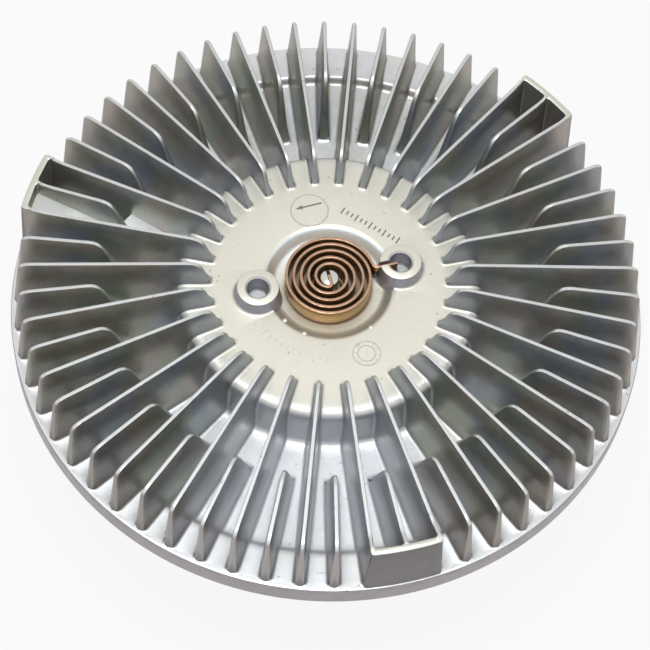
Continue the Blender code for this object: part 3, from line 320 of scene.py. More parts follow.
def placed(bm, angle=0.0, offset=(0, 0, 0)):
    """The mesh turned about Z by degrees, then moved."""
    bmesh.ops.rotate(bm, verts=bm.verts, matrix=Matrix.Rotation(math.radians(angle), 3, "Z"))
    bmesh.ops.translate(bm, verts=bm.verts, vec=offset)
    return bm


def joined(solids):
    """Meshes gathered in one, without touching each other's faces."""
    whole = bmesh.new()
    for solid in solids:
        mesh = bpy.data.meshes.new("gathered")
        solid.to_mesh(mesh)
        whole.from_mesh(mesh)
        bpy.data.meshes.remove(mesh)
        solid.free()
    return whole


def combined(base, tool, operation):
    """Boolean of two closed solids: UNION, DIFFERENCE or INTERSECT."""
    holders = []
    for name, solid in (("base", base), ("tool", tool)):
        mesh = bpy.data.meshes.new(name)
        solid.to_mesh(mesh)
        solid.free()
        holder = bpy.data.objects.new(name, mesh)
        bpy.context.scene.collection.objects.link(holder)
        holders.append(holder)
    cut = holders[0].modifiers.new("cut", "BOOLEAN")
    cut.operation = operation
    cut.solver = "MANIFOLD"
    cut.object = holders[1]
    graph = bpy.context.evaluated_depsgraph_get()
    result = bmesh.new()
    result.from_object(holders[0], graph)
    for holder in holders:
        mesh = holder.data
        bpy.data.objects.remove(holder)
        bpy.data.meshes.remove(mesh)
    if not result.faces:
        raise RuntimeError(f"the {operation.lower()} left nothing")
    return result


def piece(name, bm, body, nodes, slot):
    """Finished object that rides on a body, if one is given, and stands for CAD nodes."""
    mesh = bpy.data.meshes.new(name)
    bm.to_mesh(mesh)
    bm.free()
    mesh.shade_smooth()
    mesh.set_sharp_from_angle(angle=math.radians(32))
    mesh.materials.append(slot_finish(slot))
    made = bpy.data.objects.new(name, mesh)
    bpy.context.scene.collection.objects.link(made)
    if body:
        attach(made, body)
    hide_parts(*nodes)
    return made


# Front cover


def top_at(radius):
    """Height of the fins' top edge."""
    return Z_FIN_TOP - FIN_FALL * (radius - LONG_FIN_START) / (R_FIN_END - LONG_FIN_START)


def fin_half(height, tip):
    """Half the thickness of a fin at a height."""
    return tip / 2 + FIN_DRAFT * max(0.0, Z_FIN_TOP - height)


NOSE_STATIONS = 13


def nose_edge(start, lean, foot, fillet):
    """A fin's leading edge from the casting up to its top line, as NOSE_STATIONS points."""
    inner, crown_reach = start + lean, 6.2 * MM
    rise = bend((start - fillet, foot), (start, foot), (start + 0.05 * lean, foot + fillet), 4)
    shoulder = Vector((inner, top_at(inner) - 6.4 * MM))
    between = [rise[-1].lerp(shoulder, t) for t in (0.35, 0.7)]
    corner = (inner + min(lean / 2, 2.4 * MM), top_at(inner))
    crown = bend(shoulder, corner, (inner + crown_reach, top_at(inner + crown_reach)), 5)
    return rise + between + crown


def outer_edge():
    """A fin's trailing edge from its top line down to the ring, as NOSE_STATIONS points."""
    outer, crown_reach = R_FIN_END - FIN_OUTER_LEAN, 4.4 * MM
    start = Vector((outer - crown_reach, top_at(outer - crown_reach)))
    crown = bend(start, (outer, top_at(outer)), (outer + 0.15 * MM, top_at(outer) - 3.8 * MM), 5)
    foot = Vector((R_FIN_END - 0.05 * MM, Z_RING + 0.6 * MM))
    between = [crown[-1].lerp(foot, t) for t in (0.3, 0.6, 0.85)]
    return crown + between + bend(foot, (R_FIN_END, Z_RING), (R_FIN_END + 0.4 * MM, Z_RING), 3)


def casting_line():
    """Stations of the cover's section between the fins, and where each fin's ends fall on them."""

    def level(height, *radii):
        """Stations of one height, at radii in millimetres."""
        return [Vector((r * MM, height)) for r in radii]

    line = level(Z_PLATEAU, R_FIN_START / MM)
    anchors = {"long": len(line)}
    line += level(Z_PLATEAU, 40.3, 40.75, 41.15, 41.5, 41.9, 42.5, 43.3, 44.2, 45.2, 46.3, 47.4, 48.4, 49.3)
    edge = R_PLATEAU
    line += bend((edge - 3.6 * MM, Z_PLATEAU), (edge, Z_PLATEAU), (edge + 0.5 * MM, Z_PLATEAU - 3.6 * MM), 5)
    line += [Vector((edge + out * MM, z * MM)) for out, z in ((0.95, 78.4), (1.35, 75.6))]
    line += bend((edge + 1.75 * MM, 72.8 * MM), (edge + 2.2 * MM, Z_FLOOR), (edge + 5.4 * MM, Z_FLOOR), 4)
    line += level(Z_FLOOR, 62.5, 65, 67.5)
    anchors["short"] = len(line)
    line += level(Z_FLOOR, 70.1, 70.55, 70.95, 71.3, 71.75, 73.2, 75, 76.8, 78.3, 79.8, 81.4, 83.2, 85.2)
    line += level(Z_FLOOR, 88.5, 92, 95)
    line += bend((97.2 * MM, Z_FLOOR), (98.2 * MM, Z_FLOOR), (98.8 * MM, Z_FLOOR + 1 * MM), 3)
    line += bend((99.3 * MM, Z_RING - 0.8 * MM), (R_STEP_TOP, Z_RING), (100.8 * MM, Z_RING), 3)
    line += level(Z_RING, 102.2, 103.6)
    anchors["end"] = len(line)
    line += level(Z_RING, 104.6, 105.6, 106.6, 107.5, 108.3, 109.1, 109.9)
    line += level(Z_RING, 110.6, 111.3, 111.9, 112.4, 112.8, 113.2)
    line += [Vector((R_RIM - 0.3 * MM, Z_RING - 0.12 * MM)), Vector((R_RIM, Z_RING - 0.6 * MM))]
    line += [Vector((R_RIM, z * MM)) for z in (69, 66, 63.5)]
    line += level(Z_CRIMP_REAR, R_RIM / MM - 0.55, 111, R_LIP / MM)
    return line, anchors


def fin_edges(line, anchors, key, start, lean, fillet):
    """Edge point of a fin for each station: on the casting before and past the fin."""
    first, last = anchors[key], anchors["end"]
    nose = nose_edge(start, lean, line[first].y, fillet)
    tail = outer_edge()
    edges = [point.copy() for point in line]
    edges[first : first + NOSE_STATIONS] = nose
    edges[last : last + NOSE_STATIONS] = tail
    count = last - first - NOSE_STATIONS
    for step in range(count):
        r = nose[-1].x + (tail[0].x - nose[-1].x) * (step + 1) / (count + 1)
        edges[first + NOSE_STATIONS + step] = Vector((r, top_at(r)))
    return edges


def outward(points, index):
    """Unit normal of a (radius, height) line, on its upper or outer side."""
    along = points[min(index + 1, len(points) - 1)] - points[max(index - 1, 0)]
    return Vector((-along.y, along.x)).normalized()


TIP_SHARES = (0, 0.8, 1)
FOOT_ANGLES = (0, 30, 60, 90)
IDLE_SHARES = (0, 0.32, 0.48, 0.6, 0.7, 0.8, 0.9, 1)


def fin_section(base, normal, edge, out, tip, fillet, room):
    """Half a fin's section at one station, from its middle to the end of its root fillet, as (r, z, x)."""
    lift = (edge - base).dot(normal) if edge.y > base.y + 1e-6 else 0.0
    if lift <= 0:
        reach = min(fin_half(base.y, tip) + fillet, room)
        return [(math.sqrt(base.x**2 - (reach * s) ** 2), base.y, reach * s) for s in IDLE_SHARES]
    section = []
    nose = min(1.0, abs(out.x) * 1.1)
    half = fin_half(edge.y, tip)
    for share, drop in zip(TIP_SHARES, (0, 0.03 * MM, 0.32 * MM)):
        x = half * share
        back = nose * (half - math.sqrt(max(0.0, half**2 - x**2))) + (1 - nose) * drop
        back = min(back, 0.9 * lift) if out.y > 0.5 else back
        point = edge - out * back
        point.y = max(point.y, base.y + 0.25 * lift * (1 - share))
        section.append((point.x, point.y, fin_half(point.y, tip) * share if share else 0.0))
    high = min(fillet, 0.6 * max(0.0, section[-1][1] - base.y, (Vector(section[-1][:2]) - base).dot(normal)))
    foot = []
    for degrees in FOOT_ANGLES:
        turn = math.radians(degrees)
        point = base + normal * high * (1 - math.sin(turn))
        x = fin_half((base + normal * high).y, tip) + fillet * (1 - math.cos(turn))
        foot.append((math.sqrt(max(0.0, point.x**2 - x**2)), point.y, x))
    r = (section[-1][0] + foot[0][0]) / 2
    z = (section[-1][1] + foot[0][1]) / 2
    return section + [(r, z, fin_half(z, tip))] + foot


def finned_sector(tip, fillet):
    """Skin of half a fin pitch, from the middle of a long fin to the middle of a short one."""
    line, anchors = casting_line()
    long_edges = fin_edges(line, anchors, "long", LONG_FIN_START, LONG_FIN_LEAN, fillet)
    short_edges = fin_edges(line, anchors, "short", SHORT_FIN_START, SHORT_FIN_LEAN, fillet)
    per_fin = len(IDLE_SHARES)
    across = 2 * per_fin + 1
    bm = bmesh.new()
    bmesh.ops.create_grid(bm, x_segments=across - 1, y_segments=len(line) - 1, size=1)
    bm.verts.ensure_lookup_table()
    for row, base in enumerate(line):
        normal = outward(line, row)
        room = base.x * HALF_PITCH
        left = fin_section(base, normal, long_edges[row], outward(long_edges, row), tip, fillet, room / 2)
        spare = 0.8 * (room - left[-1][2])
        right = fin_section(base, normal, short_edges[row], outward(short_edges, row), tip, fillet, spare)
        points = [Vector((r, x, z)) for r, z, x in left]
        turned_back = Matrix.Rotation(HALF_PITCH, 3, "Z")
        opposite = [turned_back @ Vector((r, -x, z)) for r, z, x in reversed(right)]
        middle = (math.atan2(points[-1].y, points[-1].x) + math.atan2(opposite[0].y, opposite[0].x)) / 2
        points.append(Vector((base.x * math.cos(middle), base.x * math.sin(middle), base.y)))
        points += opposite
        for column, point in enumerate(points):
            bm.verts[row * across + column].co = point
    return bm


def finned_skin(tip, fillet):
    """Upper skin of the cover outside its core: one half pitch mirrored and repeated."""
    bm = finned_sector(tip, fillet)
    half = bm.verts[:] + bm.edges[:] + bm.faces[:]
    bmesh.ops.mirror(bm, geom=half, matrix=Matrix.Identity(4), merge_dist=-1, axis="Y")
    pair = bm.verts[:] + bm.edges[:] + bm.faces[:]
    bmesh.ops.spin(
        bm,
        geom=pair,
        cent=(0, 0, 0),
        axis=(0, 0, 1),
        angle=math.tau * (FIN_PAIRS - 1) / FIN_PAIRS,
        steps=FIN_PAIRS - 1,
        use_duplicate=True,
    )
    bmesh.ops.remove_doubles(bm, verts=bm.verts, dist=2e-6)
    return placed(bm, FIN_START_ANGLE)


def cover_core():
    """Turned middle of the cover and its inner side, from the plateau round to the crimped lip."""
    wall = 4 * MM
    corners = [
        (R_CORE, Z_PLATEAU, 0),
        (R_DISH_RIM, Z_PLATEAU, DISH_ROUND),
        (R_DISH, Z_DISH, DISH_ROUND),
        (R_BORE + FIT, Z_DISH, 0.2 * MM),
        (R_BORE + FIT, Z_BUSH_REAR, 0),
        (R_BORE + FIT + wall, Z_BUSH_REAR, 0),
        (R_BORE + FIT + wall, Z_DISH - wall, 0),
        (R_DISH + DISH_ROUND, Z_DISH - wall, 0),
        (R_DISH_RIM + DISH_ROUND, Z_PLATEAU - wall, 0),
        (R_PLATEAU - wall, Z_PLATEAU - wall, 0),
        (R_PLATEAU - 1.8 * MM, Z_COVER_REAR, 0),
        (R_STEP_TOP, Z_COVER_REAR, 0),
        (R_STEP_TOP, Z_ROOF, 0),
        (R_SKIRT, Z_ROOF, 0),
        (R_SKIRT, Z_CRIMP, 0),
        (R_CRIMP, Z_CRIMP, 0),
        (R_CRIMP, Z_CRIMP_REAR, 0),
    ]
    return spun(rounded(corners), 120, closed=False)


def closed_between(bm, height):
    """Fill the flat band between the mesh's two open circles at a height."""
    rims = [edge for edge in bm.edges if edge.is_boundary and abs(edge.verts[0].co.z - height) < 0.05 * MM]
    bmesh.ops.triangle_fill(bm, edges=rims, use_beauty=True, normal=(0, 0, 1))


def cover_shell(tip, fillet):
    """Closed solid of the cover with its fins."""
    bm = joined([finned_skin(tip, fillet), cover_core()])
    closed_between(bm, Z_PLATEAU)
    closed_between(bm, Z_CRIMP_REAR)
    bmesh.ops.recalc_face_normals(bm, faces=bm.faces)
    return bm


def lug_ring(height, inset, outset, tip):
    """Plan outline of a lug at a height: outer arc, then the walls of its two fin pockets."""
    outer = R_RIM - 0.7 * MM - outset
    inner = R_RIM - 4.1 * MM - inset
    span = HALF_PITCH
    half = fin_half(height, tip) / inner
    corner = 1.4 * MM
    start, end = -span - half + 0.1 * MM / inner, span + half - 0.1 * MM / inner
    points = [(outer - MM, start), (outer - 0.3 * MM, start + 0.3 * MM / inner)]
    points += [(outer, start + (end - start) * (0.04 + 0.92 * step / 12)) for step in range(13)]
    points += [(outer - 0.3 * MM, end - 0.3 * MM / inner), (outer - MM, end), (inner - corner, end)]
    hidden = half * 0.6
    for low, high in ((0, span), (-span, 0)):
        for step in range(6):
            t = math.pi / 2 * step / 5
            turn = high - hidden - corner / inner * (1 - math.cos(t))
            points.append((inner - corner * (1 - math.sin(t)), turn))
        for step in range(6):
            t = math.pi / 2 * (1 - step / 5)
            turn = low + hidden + corner / inner * (1 - math.cos(t))
            points.append((inner - corner * (1 - math.sin(t)), turn))
    points.append((inner - corner, start))
    return [(r * math.cos(a), r * math.sin(a), height) for r, a in points]


LUG_PROFILE = [
    (Z_RING + 1.1 * MM, 0, 0.05 * MM),
    (Z_LUG_TOP - 0.6 * MM, 0, 0.95 * MM),
    (Z_LUG_TOP - 0.18 * MM, -0.12 * MM, 1.08 * MM),
    (Z_LUG_TOP, -0.5 * MM, 1.45 * MM),
]


def lug_trims(tip):
    """Room outside the lugs' walls, which trims the fins that end in them."""
    trims = []
    for angle in LUG_ANGLES:
        rings = []
        for z, _, outset in LUG_PROFILE + [(Z_FIN_TOP + MM, 0, 1.45 * MM)]:
            wall = [Vector(point) for point in lug_ring(z, 0, outset + 0.015 * MM, tip)[:17]]
            rings.append([])
            for spot, way in ((wall[0], -1), (wall[-1], 1)):
                aside = Vector((-spot.y, spot.x, 0)).normalized() * 0.4 * MM * way
                beyond = spot + aside + Vector((spot.x, spot.y, 0)).normalized() * 4 * MM
                rings[-1] += [beyond, spot + aside] + wall if way < 0 else [spot + aside, beyond]
        trims.append(placed(lofted(rings), angle))
    return joined(trims)


def lug_webs(tip):
    """Ends of the fins that run up into the lugs' tops."""
    webs = []
    for angle in LUG_ANGLES:
        for side in (-1, 0, 1):
            rings = []
            for inset, drop in ((12, 1.25), (9, 0.95), (6.5, 0.6), (4.6, 0.22), (3.6, 0.06), (2.5, 0.06)):
                r = R_RIM - inset * MM
                top = Z_LUG_TOP - drop * MM
                foot = fin_half(Z_RING, tip) - 0.04 * MM
                edge = tip / 2 - 0.03 * MM
                half = [(foot, Z_RING - 0.4 * MM), (edge, top - 0.3 * MM), (edge - 0.25 * MM, top)]
                rings.append([(r, y, z) for y, z in half] + [(r, -y, z) for y, z in reversed(half)])
            webs.append(placed(lofted(rings), angle + side * FIN_ANGLE))
    return joined(webs)


def return_ramp():
    """Sloping back of the oil return passage, between the fins of the second lug."""
    first, middle, last = (LUG_ANGLES[1] + way * FIN_ANGLE for way in (-1, 0, 1))
    wide, narrow = (55.2, 66, 77), (79.5, 90, 101, 112.9)
    bottom = Z_ROOF + 0.2 * MM
    rings = []
    for r in wide + narrow:
        start = first if r in wide else middle
        top = (78 + 0.287 * (r - 65)) * MM
        section = ((start, bottom), (last, bottom), (last, top), (start, top))
        rings.append([polar(r * MM, angle, z) for angle, z in section])
    return lofted(rings)


def chucking_lugs(tip):
    """Outer walls that close two fin pockets each."""
    stations = [
        (Z_RING - 1.2 * MM, 1.1 * MM, 0),
        (Z_RING - 0.03 * MM, 1.1 * MM, 0),
        (Z_RING + 0.3 * MM, 0.45 * MM, 0.02 * MM),
    ]
    lugs = []
    for angle in LUG_ANGLES:
        rings = [lug_ring(z, inset, outset, tip) for z, inset, outset in stations + LUG_PROFILE]
        lugs.append(placed(lofted(rings), angle))
    return joined(lugs)


def core_height(radius):
    """Height of the cover's middle before the bosses stand on it."""
    share = (radius - R_DISH) / (R_DISH_RIM - R_DISH)
    return Z_DISH + (Z_PLATEAU - Z_DISH) * min(1.0, max(0.0, share))


def boss(angle):
    """Tapered boss whose foot flares into the plateau on one side and the dish on the other."""
    centre = polar(BOSS_CIRCLE, angle)
    slope = (BOSS_FOOT_RADIUS - BOSS_TOP_RADIUS) / (Z_BOSS_TOP - Z_DISH + 2 * MM)
    segments = 72
    columns = []
    for step in range(segments):
        way = polar(1, 360 * step / segments)

        def surface(reach):
            """Height of the cover this far from the boss's middle."""
            return core_height((centre + way * reach).length)

        def side(height):
            """Radius of the tapered boss at a height."""
            return BOSS_TOP_RADIUS + slope * (Z_BOSS_TOP - height)

        foot = surface(side(Z_PLATEAU))
        for _ in range(6):
            foot = surface(side(foot))
        flare = (1.15 + 0.65 * way.dot(centre.normalized())) * MM
        reach = side(foot)
        outer = surface(reach + flare) - 0.03 * MM
        column = [(reach + flare, outer - 1 * MM), (reach + flare, outer)]
        column += bend((reach + flare, outer), (reach, foot), (side(foot + flare), foot + flare), 4)[1:]
        column.append((side(Z_BOSS_TOP - 0.5 * MM), Z_BOSS_TOP - 0.5 * MM))
        column.append((BOSS_TOP_RADIUS - 0.12 * MM, Z_BOSS_TOP - 0.12 * MM))
        column.append((BOSS_TOP_RADIUS - 0.45 * MM, Z_BOSS_TOP))
        columns.append([centre + way * r + Vector((0, 0, z)) for r, z in column])
    return lofted([[column[row] for column in columns] for row in range(len(columns[0]))])


def boss_hole(angle):
    """Chamfered blind hole of a boss."""
    profile = [
        (0, Z_BOSS_TOP - 8 * MM),
        (BOSS_HOLE - 0.5 * MM, Z_BOSS_TOP - 8 * MM),
        (BOSS_HOLE, Z_BOSS_TOP - 7.5 * MM),
        (BOSS_HOLE, Z_BOSS_TOP - 0.7 * MM),
        (BOSS_HOLE + 1.9 * MM, Z_BOSS_TOP + 1.2 * MM),
        (0, Z_BOSS_TOP + 1.2 * MM),
    ]
    return placed(spun(profile, 72), 0, polar(BOSS_CIRCLE, angle))


def anchor_notch(strip):
    """Slot from the dish into the first boss for the coil's outer end."""
    half = strip / 2 + FIT
    start, end = COIL_RADIUS + half, BOSS_CIRCLE
    return placed(bar(start, end, half, Z_DISH + 0.05 * MM, Z_BOSS_TOP + 4 * MM), ANCHOR_ANGLE)


def stroke(start, end, width, low, high, taper=0.12 * MM):
    """Straight stroke of a cast mark, narrower at its top."""
    along = (end - start).normalized()
    across = Vector((-along.y, along.x, 0))
    rings = []
    for height, inset in ((low, 0), (high, taper)):
        side = across * (width / 2 - inset)
        first, last = start + along * inset, end - along * inset
        plan = (first - side, last - side, last + side, first + side)
        rings.append([(point.x, point.y, height) for point in plan])
    return lofted(rings)


def ring_mark(radius, width, height, centre):
    """Low round bead on the plateau."""
    half = width / 2
    rise = ((half, Z_PLATEAU - 0.5 * MM), (half, Z_PLATEAU + 0.1 * height), (half * 0.5, Z_PLATEAU + height))
    profile = [(radius - x, z) for x, z in rise] + [(radius + x, z) for x, z in reversed(rise)]
    return placed(spun(profile, 60), 0, centre)


def raised_marks():
    """Plain marks that stand on the plateau: a ring, a dial with ticks, a row of dashes and ejector pips."""
    low, high = Z_PLATEAU - 0.5 * MM, Z_PLATEAU + 0.22 * MM
    marks = [ring_mark(6.8 * MM, 0.5 * MM, 0.2 * MM, polar(31 * MM, 107.1))]
    dial = polar(31.8 * MM, -61.6)
    for radius in (4.9, 3.1):
        marks.append(ring_mark(radius * MM, 0.42 * MM, 0.18 * MM, dial))
    for tick in range(12):
        way = polar(1, 30 * tick)
        ends = (dial + way * 3.55 * MM, dial + way * 4.45 * MM)
        marks.append(stroke(*ends, 0.4 * MM, low, high - 0.06 * MM, 0.08 * MM))
    hand = (dial - Vector((0, 1.6 * MM, 0)), dial + Vector((0, 1.8 * MM, 0)))
    marks.append(stroke(*hand, 0.5 * MM, low, high))
    for step in range(11):
        way = polar(1, 227 + 4.6 * step)
        length = 1.5 if step % 5 == 0 else 0.8
        marks.append(stroke(way * (31 - length) * MM, way * (31 + length) * MM, 0.5 * MM, low, high))
    for radius, angle in ((23.1, -108.2), (23.6, -47.2), (22.5, -129.9)):
        pip = [(0, low - 3 * MM), (0.95 * MM, low - 3 * MM), (0.9 * MM, high - 0.35 * MM)]
        pip += [(0.6 * MM, high - 0.1 * MM), (0, high)]
        marks.append(placed(spun(pip, 20), 0, polar(radius * MM, angle)))
    dash = (Vector((3.34, -107.1, 0)) * MM, Vector((6.37, -106.84, 0)) * MM)
    marks.append(stroke(*dash, 0.6 * MM, Z_RING - 0.5 * MM, Z_RING + 0.3 * MM))
    return joined(marks)


def sunk_marks():
    """Marks cut into the plateau: an arrow in the ring and a scale of ticks, and a nick in the rim."""
    low, high = Z_PLATEAU - 0.32 * MM, Z_PLATEAU + 1 * MM
    tail, tip = polar(33.47 * MM, 98.6), polar(32.84 * MM, 115.7)
    along = (tip - tail).normalized()
    across = Vector((-along.y, along.x, 0))
    neck = tip - along * 2.6 * MM
    half, wing = 0.3 * MM, 0.95 * MM
    plan = [tail - across * half, neck - across * half, neck - across * wing, tip]
    plan += [neck + across * wing, neck + across * half, tail + across * half]
    marks = [prism(plan, low, high)]
    middle = polar(28.4 * MM, 62)
    row, way = polar(1, 152), polar(1, 62)
    for step in range(-6, 7):
        length = 1.5 if step % 3 == 0 else 0.9
        centre = middle + row * 1.95 * MM * step
        ends = (centre - way * length * MM, centre + way * length * MM)
        marks.append(stroke(*ends, 0.55 * MM, low, high, 0))
    nick = bmesh.new()
    bmesh.ops.create_icosphere(nick, subdivisions=2, radius=1.1 * MM)
    marks.append(placed(nick, 0, polar(R_RIM + 0.55 * MM, -82.8, Z_RING - 0.2 * MM)))
    return joined(marks)


def front_cover(settings, strip):
    """Finned cover casting with lugs, bosses and their holes, and its cast marks."""
    cover = cover_shell(settings.fin_tip, settings.root_fillet)
    for solid in (chucking_lugs(settings.fin_tip), lug_webs(settings.fin_tip), return_ramp()):
        cover = combined(cover, solid, "UNION")
    cover = combined(cover, lug_trims(settings.fin_tip), "DIFFERENCE")
    cover = combined(cover, raised_marks(), "UNION")
    cover = combined(cover, sunk_marks(), "DIFFERENCE")
    for angle in BOSS_ANGLES:
        cover = combined(cover, boss(angle), "UNION")
        cover = combined(cover, boss_hole(angle), "DIFFERENCE")
    cover = combined(cover, anchor_notch(strip), "DIFFERENCE")
    return piece("cover_casting", cover, "housing", ["front_cover"], "cast_cover")


# Coil and valve


def coil_path(strip):
    """Middle line of the strip, from its anchor in the boss to the spindle's slot, and each
    point's share of the valve's turn."""
    bent = 1.6 * MM
    inner = VALVE_TIP + FIT + strip / 2
    lead = math.degrees(bent / COIL_RADIUS)
    tail = math.degrees(bent / inner)
    start = ANCHOR_ANGLE
    steps = 300
    spiral = []
    for step in range(steps + 1):
        share = step / steps
        angle = start + lead + share * (360 * COIL_TURNS - lead - tail)
        loose = 0.35 * MM * math.sin(math.pi * min(1.0, share / 0.7))
        radius = COIL_RADIUS + share * (inner - COIL_RADIUS) + loose
        spiral.append(polar(radius, angle) + Vector((loose, 0, 0)))
    anchor = polar(BOSS_CIRCLE - BOSS_HOLE * 0.25, start)
    hook = bend(polar(COIL_RADIUS + bent, start), polar(COIL_RADIUS, start), spiral[0], 6)[:-1]
    straight = [anchor.lerp(hook[0], t) for t in (0, 0.3, 0.6, 0.85)]
    turn = bend(spiral[-1], polar(inner, SLOT_ANGLE), polar(inner - bent, SLOT_ANGLE), 5)[1:]
    tail_end = turn + [polar(VALVE_TIP * 0.2, SLOT_ANGLE + 180)]
    held = len(straight) + len(hook)
    shares = [0.0] * held + [step / steps for step in range(steps + 1)] + [1.0] * len(tail_end)
    return straight + hook + spiral + tail_end, shares


def strip_section(strip, foot, top):
    """Section of the strip across its path: (offset, height), with eased edges."""
    half = strip / 2
    ease = 0.22 * MM
    corner = ((0, ease), (ease * 0.35, ease * 0.3), (ease, 0))
    back = corner[::-1]
    section = [(-half + x, foot + z) for x, z in corner] + [(half - x, foot + z) for x, z in back]
    section += [(half - x, top - z) for x, z in corner] + [(-half + x, top - z) for x, z in back]
    return section


def bimetal_coil(settings):
    """Flat spiral of bimetal strip."""
    path, shares = coil_path(settings.strip)
    section = strip_section(settings.strip, COIL_FOOT, COIL_TOP)
    rings = []
    for index, point in enumerate(path):
        along = (path[min(index + 1, len(path) - 1)] - path[max(index - 1, 0)]).normalized()
        across = Vector((-along.y, along.x, 0))
        rings.append([point + across * offset + Vector((0, 0, height)) for offset, height in section])
    coil = piece("coil_strip", lofted(rings), None, ["bimetal_coil"], "bimetal")
    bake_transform(coil, "housing", "valve", start=(COIL_RADIUS, 0, COIL_FOOT), end=(0, 0, COIL_FOOT))
    for index, weight in enumerate(coil.data.attributes["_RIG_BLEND"].data):
        weight.value = shares[index // len(section)]
    # Marks the outer turn's outward face, which the painted shade between the turns leaves out.
    outside = coil.data.attributes.new("open_side", "FLOAT", "POINT")
    for index, mark in enumerate(outside.data):
        ring, spot = divmod(index, len(section))
        mark.value = float(shares[ring] < 1 / COIL_TURNS and section[spot][0] < 0)
    return coil


def valve_spindle(strip):
    """Slotted tip of the valve shaft, with its sealed journal and square end."""
    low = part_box("valve_shaft")[0].z
    journal = 4.5 * MM
    groove = Z_BUSH_REAR + (Z_DISH - Z_BUSH_REAR) / 2
    deep, half = 1.8 * MM, 1.05 * MM
    profile = rounded(
        [
            (0, low + 1.6 * MM, 0),
            (journal, low + 1.6 * MM, 0.3 * MM),
            (journal, groove - half, 0),
            (journal - deep, groove - half, 0),
            (journal - deep, groove + half, 0),
            (journal, groove + half, 0),
            (journal, Z_DISH - FIT, 0.2 * MM),
            (VALVE_TIP, Z_DISH - FIT, 0),
            (VALVE_TIP, Z_VALVE_TIP - 0.7 * MM, 0.5 * MM),
            (VALVE_TIP * 0.6, Z_VALVE_TIP - 0.2 * MM, 0.4 * MM),
            (0, Z_VALVE_TIP, 0),
        ]
    )
    spindle = spun(profile, 64)
    side = 2.3 * MM
    square = bar(-side, side, side, low, low + 2.2 * MM)
    spindle = combined(spindle, placed(square, ARM_SQUARE_ANGLE), "UNION")
    half = strip / 2 + FIT / 2
    slot = bar(-7 * MM, 7 * MM, half, COIL_FOOT - FIT, Z_VALVE_TIP + 2 * MM)
    spindle = combined(spindle, placed(slot, SLOT_ANGLE), "DIFFERENCE")
    return piece("valve_spindle", spindle, "valve", ["valve_shaft"], "valve_steel")


def bushing():
    """Bronze bushing round the valve shaft."""
    bore, barrel, collar = 4.8 * MM, 6.5 * MM, 7.7 * MM
    profile = rounded(
        [
            (bore, Z_DISH, 0.25 * MM),
            (bore, Z_BUSH_REAR - 1.5 * MM, 0.2 * MM),
            (collar, Z_BUSH_REAR - 1.5 * MM, 0.3 * MM),
            (collar, Z_BUSH_REAR - FIT, 0.2 * MM),
            (barrel, Z_BUSH_REAR - FIT, 0),
            (barrel, Z_DISH, 0.25 * MM),
        ],
        2,
    )
    return piece("bushing", spun(profile, 64), "housing", ["valve_bushing"], "bronze")


# Rear body


def body_section():
    """Closed section of the rear body in (radius, height)."""
    seat, hub, wall = 36.3 * MM, 46 * MM, 104.5 * MM
    flange, hall = 110.2 * MM, 100.2 * MM
    land_height, land_width, land_pitch = 6 * MM, 2.4 * MM, 6.6
    corners = [
        (seat, Z_TAIL, 0.5 * MM),
        (hub, Z_TAIL, 1.5 * MM),
        (hub + 0.6 * MM, Z_WEB_REAR, 2 * MM),
        (wall - 2 * MM, Z_WEB_REAR, 4.5 * MM),
        (wall, Z_FLANGE_REAR, 1 * MM),
        (flange, Z_FLANGE_REAR, 0.3 * MM),
        (flange, Z_FLANGE, 0.3 * MM),
        (SEAL_CIRCLE + 1.1 * MM, Z_FLANGE, 0),
        (SEAL_CIRCLE + 1.1 * MM, Z_FLANGE - 2.2 * MM, 0),
        (SEAL_CIRCLE - 1.1 * MM, Z_FLANGE - 2.2 * MM, 0),
        (SEAL_CIRCLE - 1.1 * MM, Z_FLANGE, 0),
        (hall, Z_FLANGE, 0),
        (hall, Z_BODY_FLOOR, 0),
    ]
    for index in range(LAND_COUNT):
        outer = (95.2 - index * land_pitch) * MM
        corners += [
            (outer, Z_BODY_FLOOR, 0),
            (outer, Z_BODY_FLOOR + land_height, 0),
            (outer - land_width, Z_BODY_FLOOR + land_height, 0),
            (outer - land_width, Z_BODY_FLOOR, 0),
        ]
    groove = Z_CLIP + 1.75 * MM
    corners += [
        (seat - 3 * MM, Z_BODY_FLOOR, 0),
        (seat - 3 * MM, Z_BODY_FLOOR - 3 * MM, 0),
        (seat, Z_BODY_FLOOR - 3 * MM, 0),
        (seat, groove, 0),
        (seat + 2 * MM, groove, 0),
        (seat + 2 * MM, Z_CLIP - FIT, 0),
        (seat, Z_CLIP - FIT, 0),
    ]
    return rounded(corners)


def rib(angle):
    """Radial cooling rib with eased edges, flaring where it meets the web."""
    hub_end = ((43.5, 12.5), (44.5, 13), (49, 13), (60, 11))
    rim_end = ((94, 4.4), (96.5, 3.2), (97.8, 1), (98.4, 0.1))
    high = Z_WEB_REAR + 1.5 * MM
    rings = []
    for r, drop in hub_end + rim_end:
        low = Z_WEB_REAR - drop * MM
        depth = Z_WEB_REAR - low
        half = 1.5 * MM + 0.035 * depth
        ease = min(0.5 * MM, depth * 0.4)
        flare = min(1.6 * MM, depth * 0.8)
        side = [
            (half - 0.03 * depth - ease, low),
            (half - 0.03 * depth - ease * 0.25, low + ease * 0.3),
            (half - 0.03 * depth, low + ease),
            (half, Z_WEB_REAR - flare),
            (half + flare * 0.3, Z_WEB_REAR - flare * 0.3),
            (half + flare, Z_WEB_REAR + 0.05 * MM),
            (half + flare, high),
        ]
        section = side + [(-x, z) for x, z in reversed(side)]
        rings.append([(r * MM, x, z) for x, z in section])
    return placed(lofted(rings), angle)


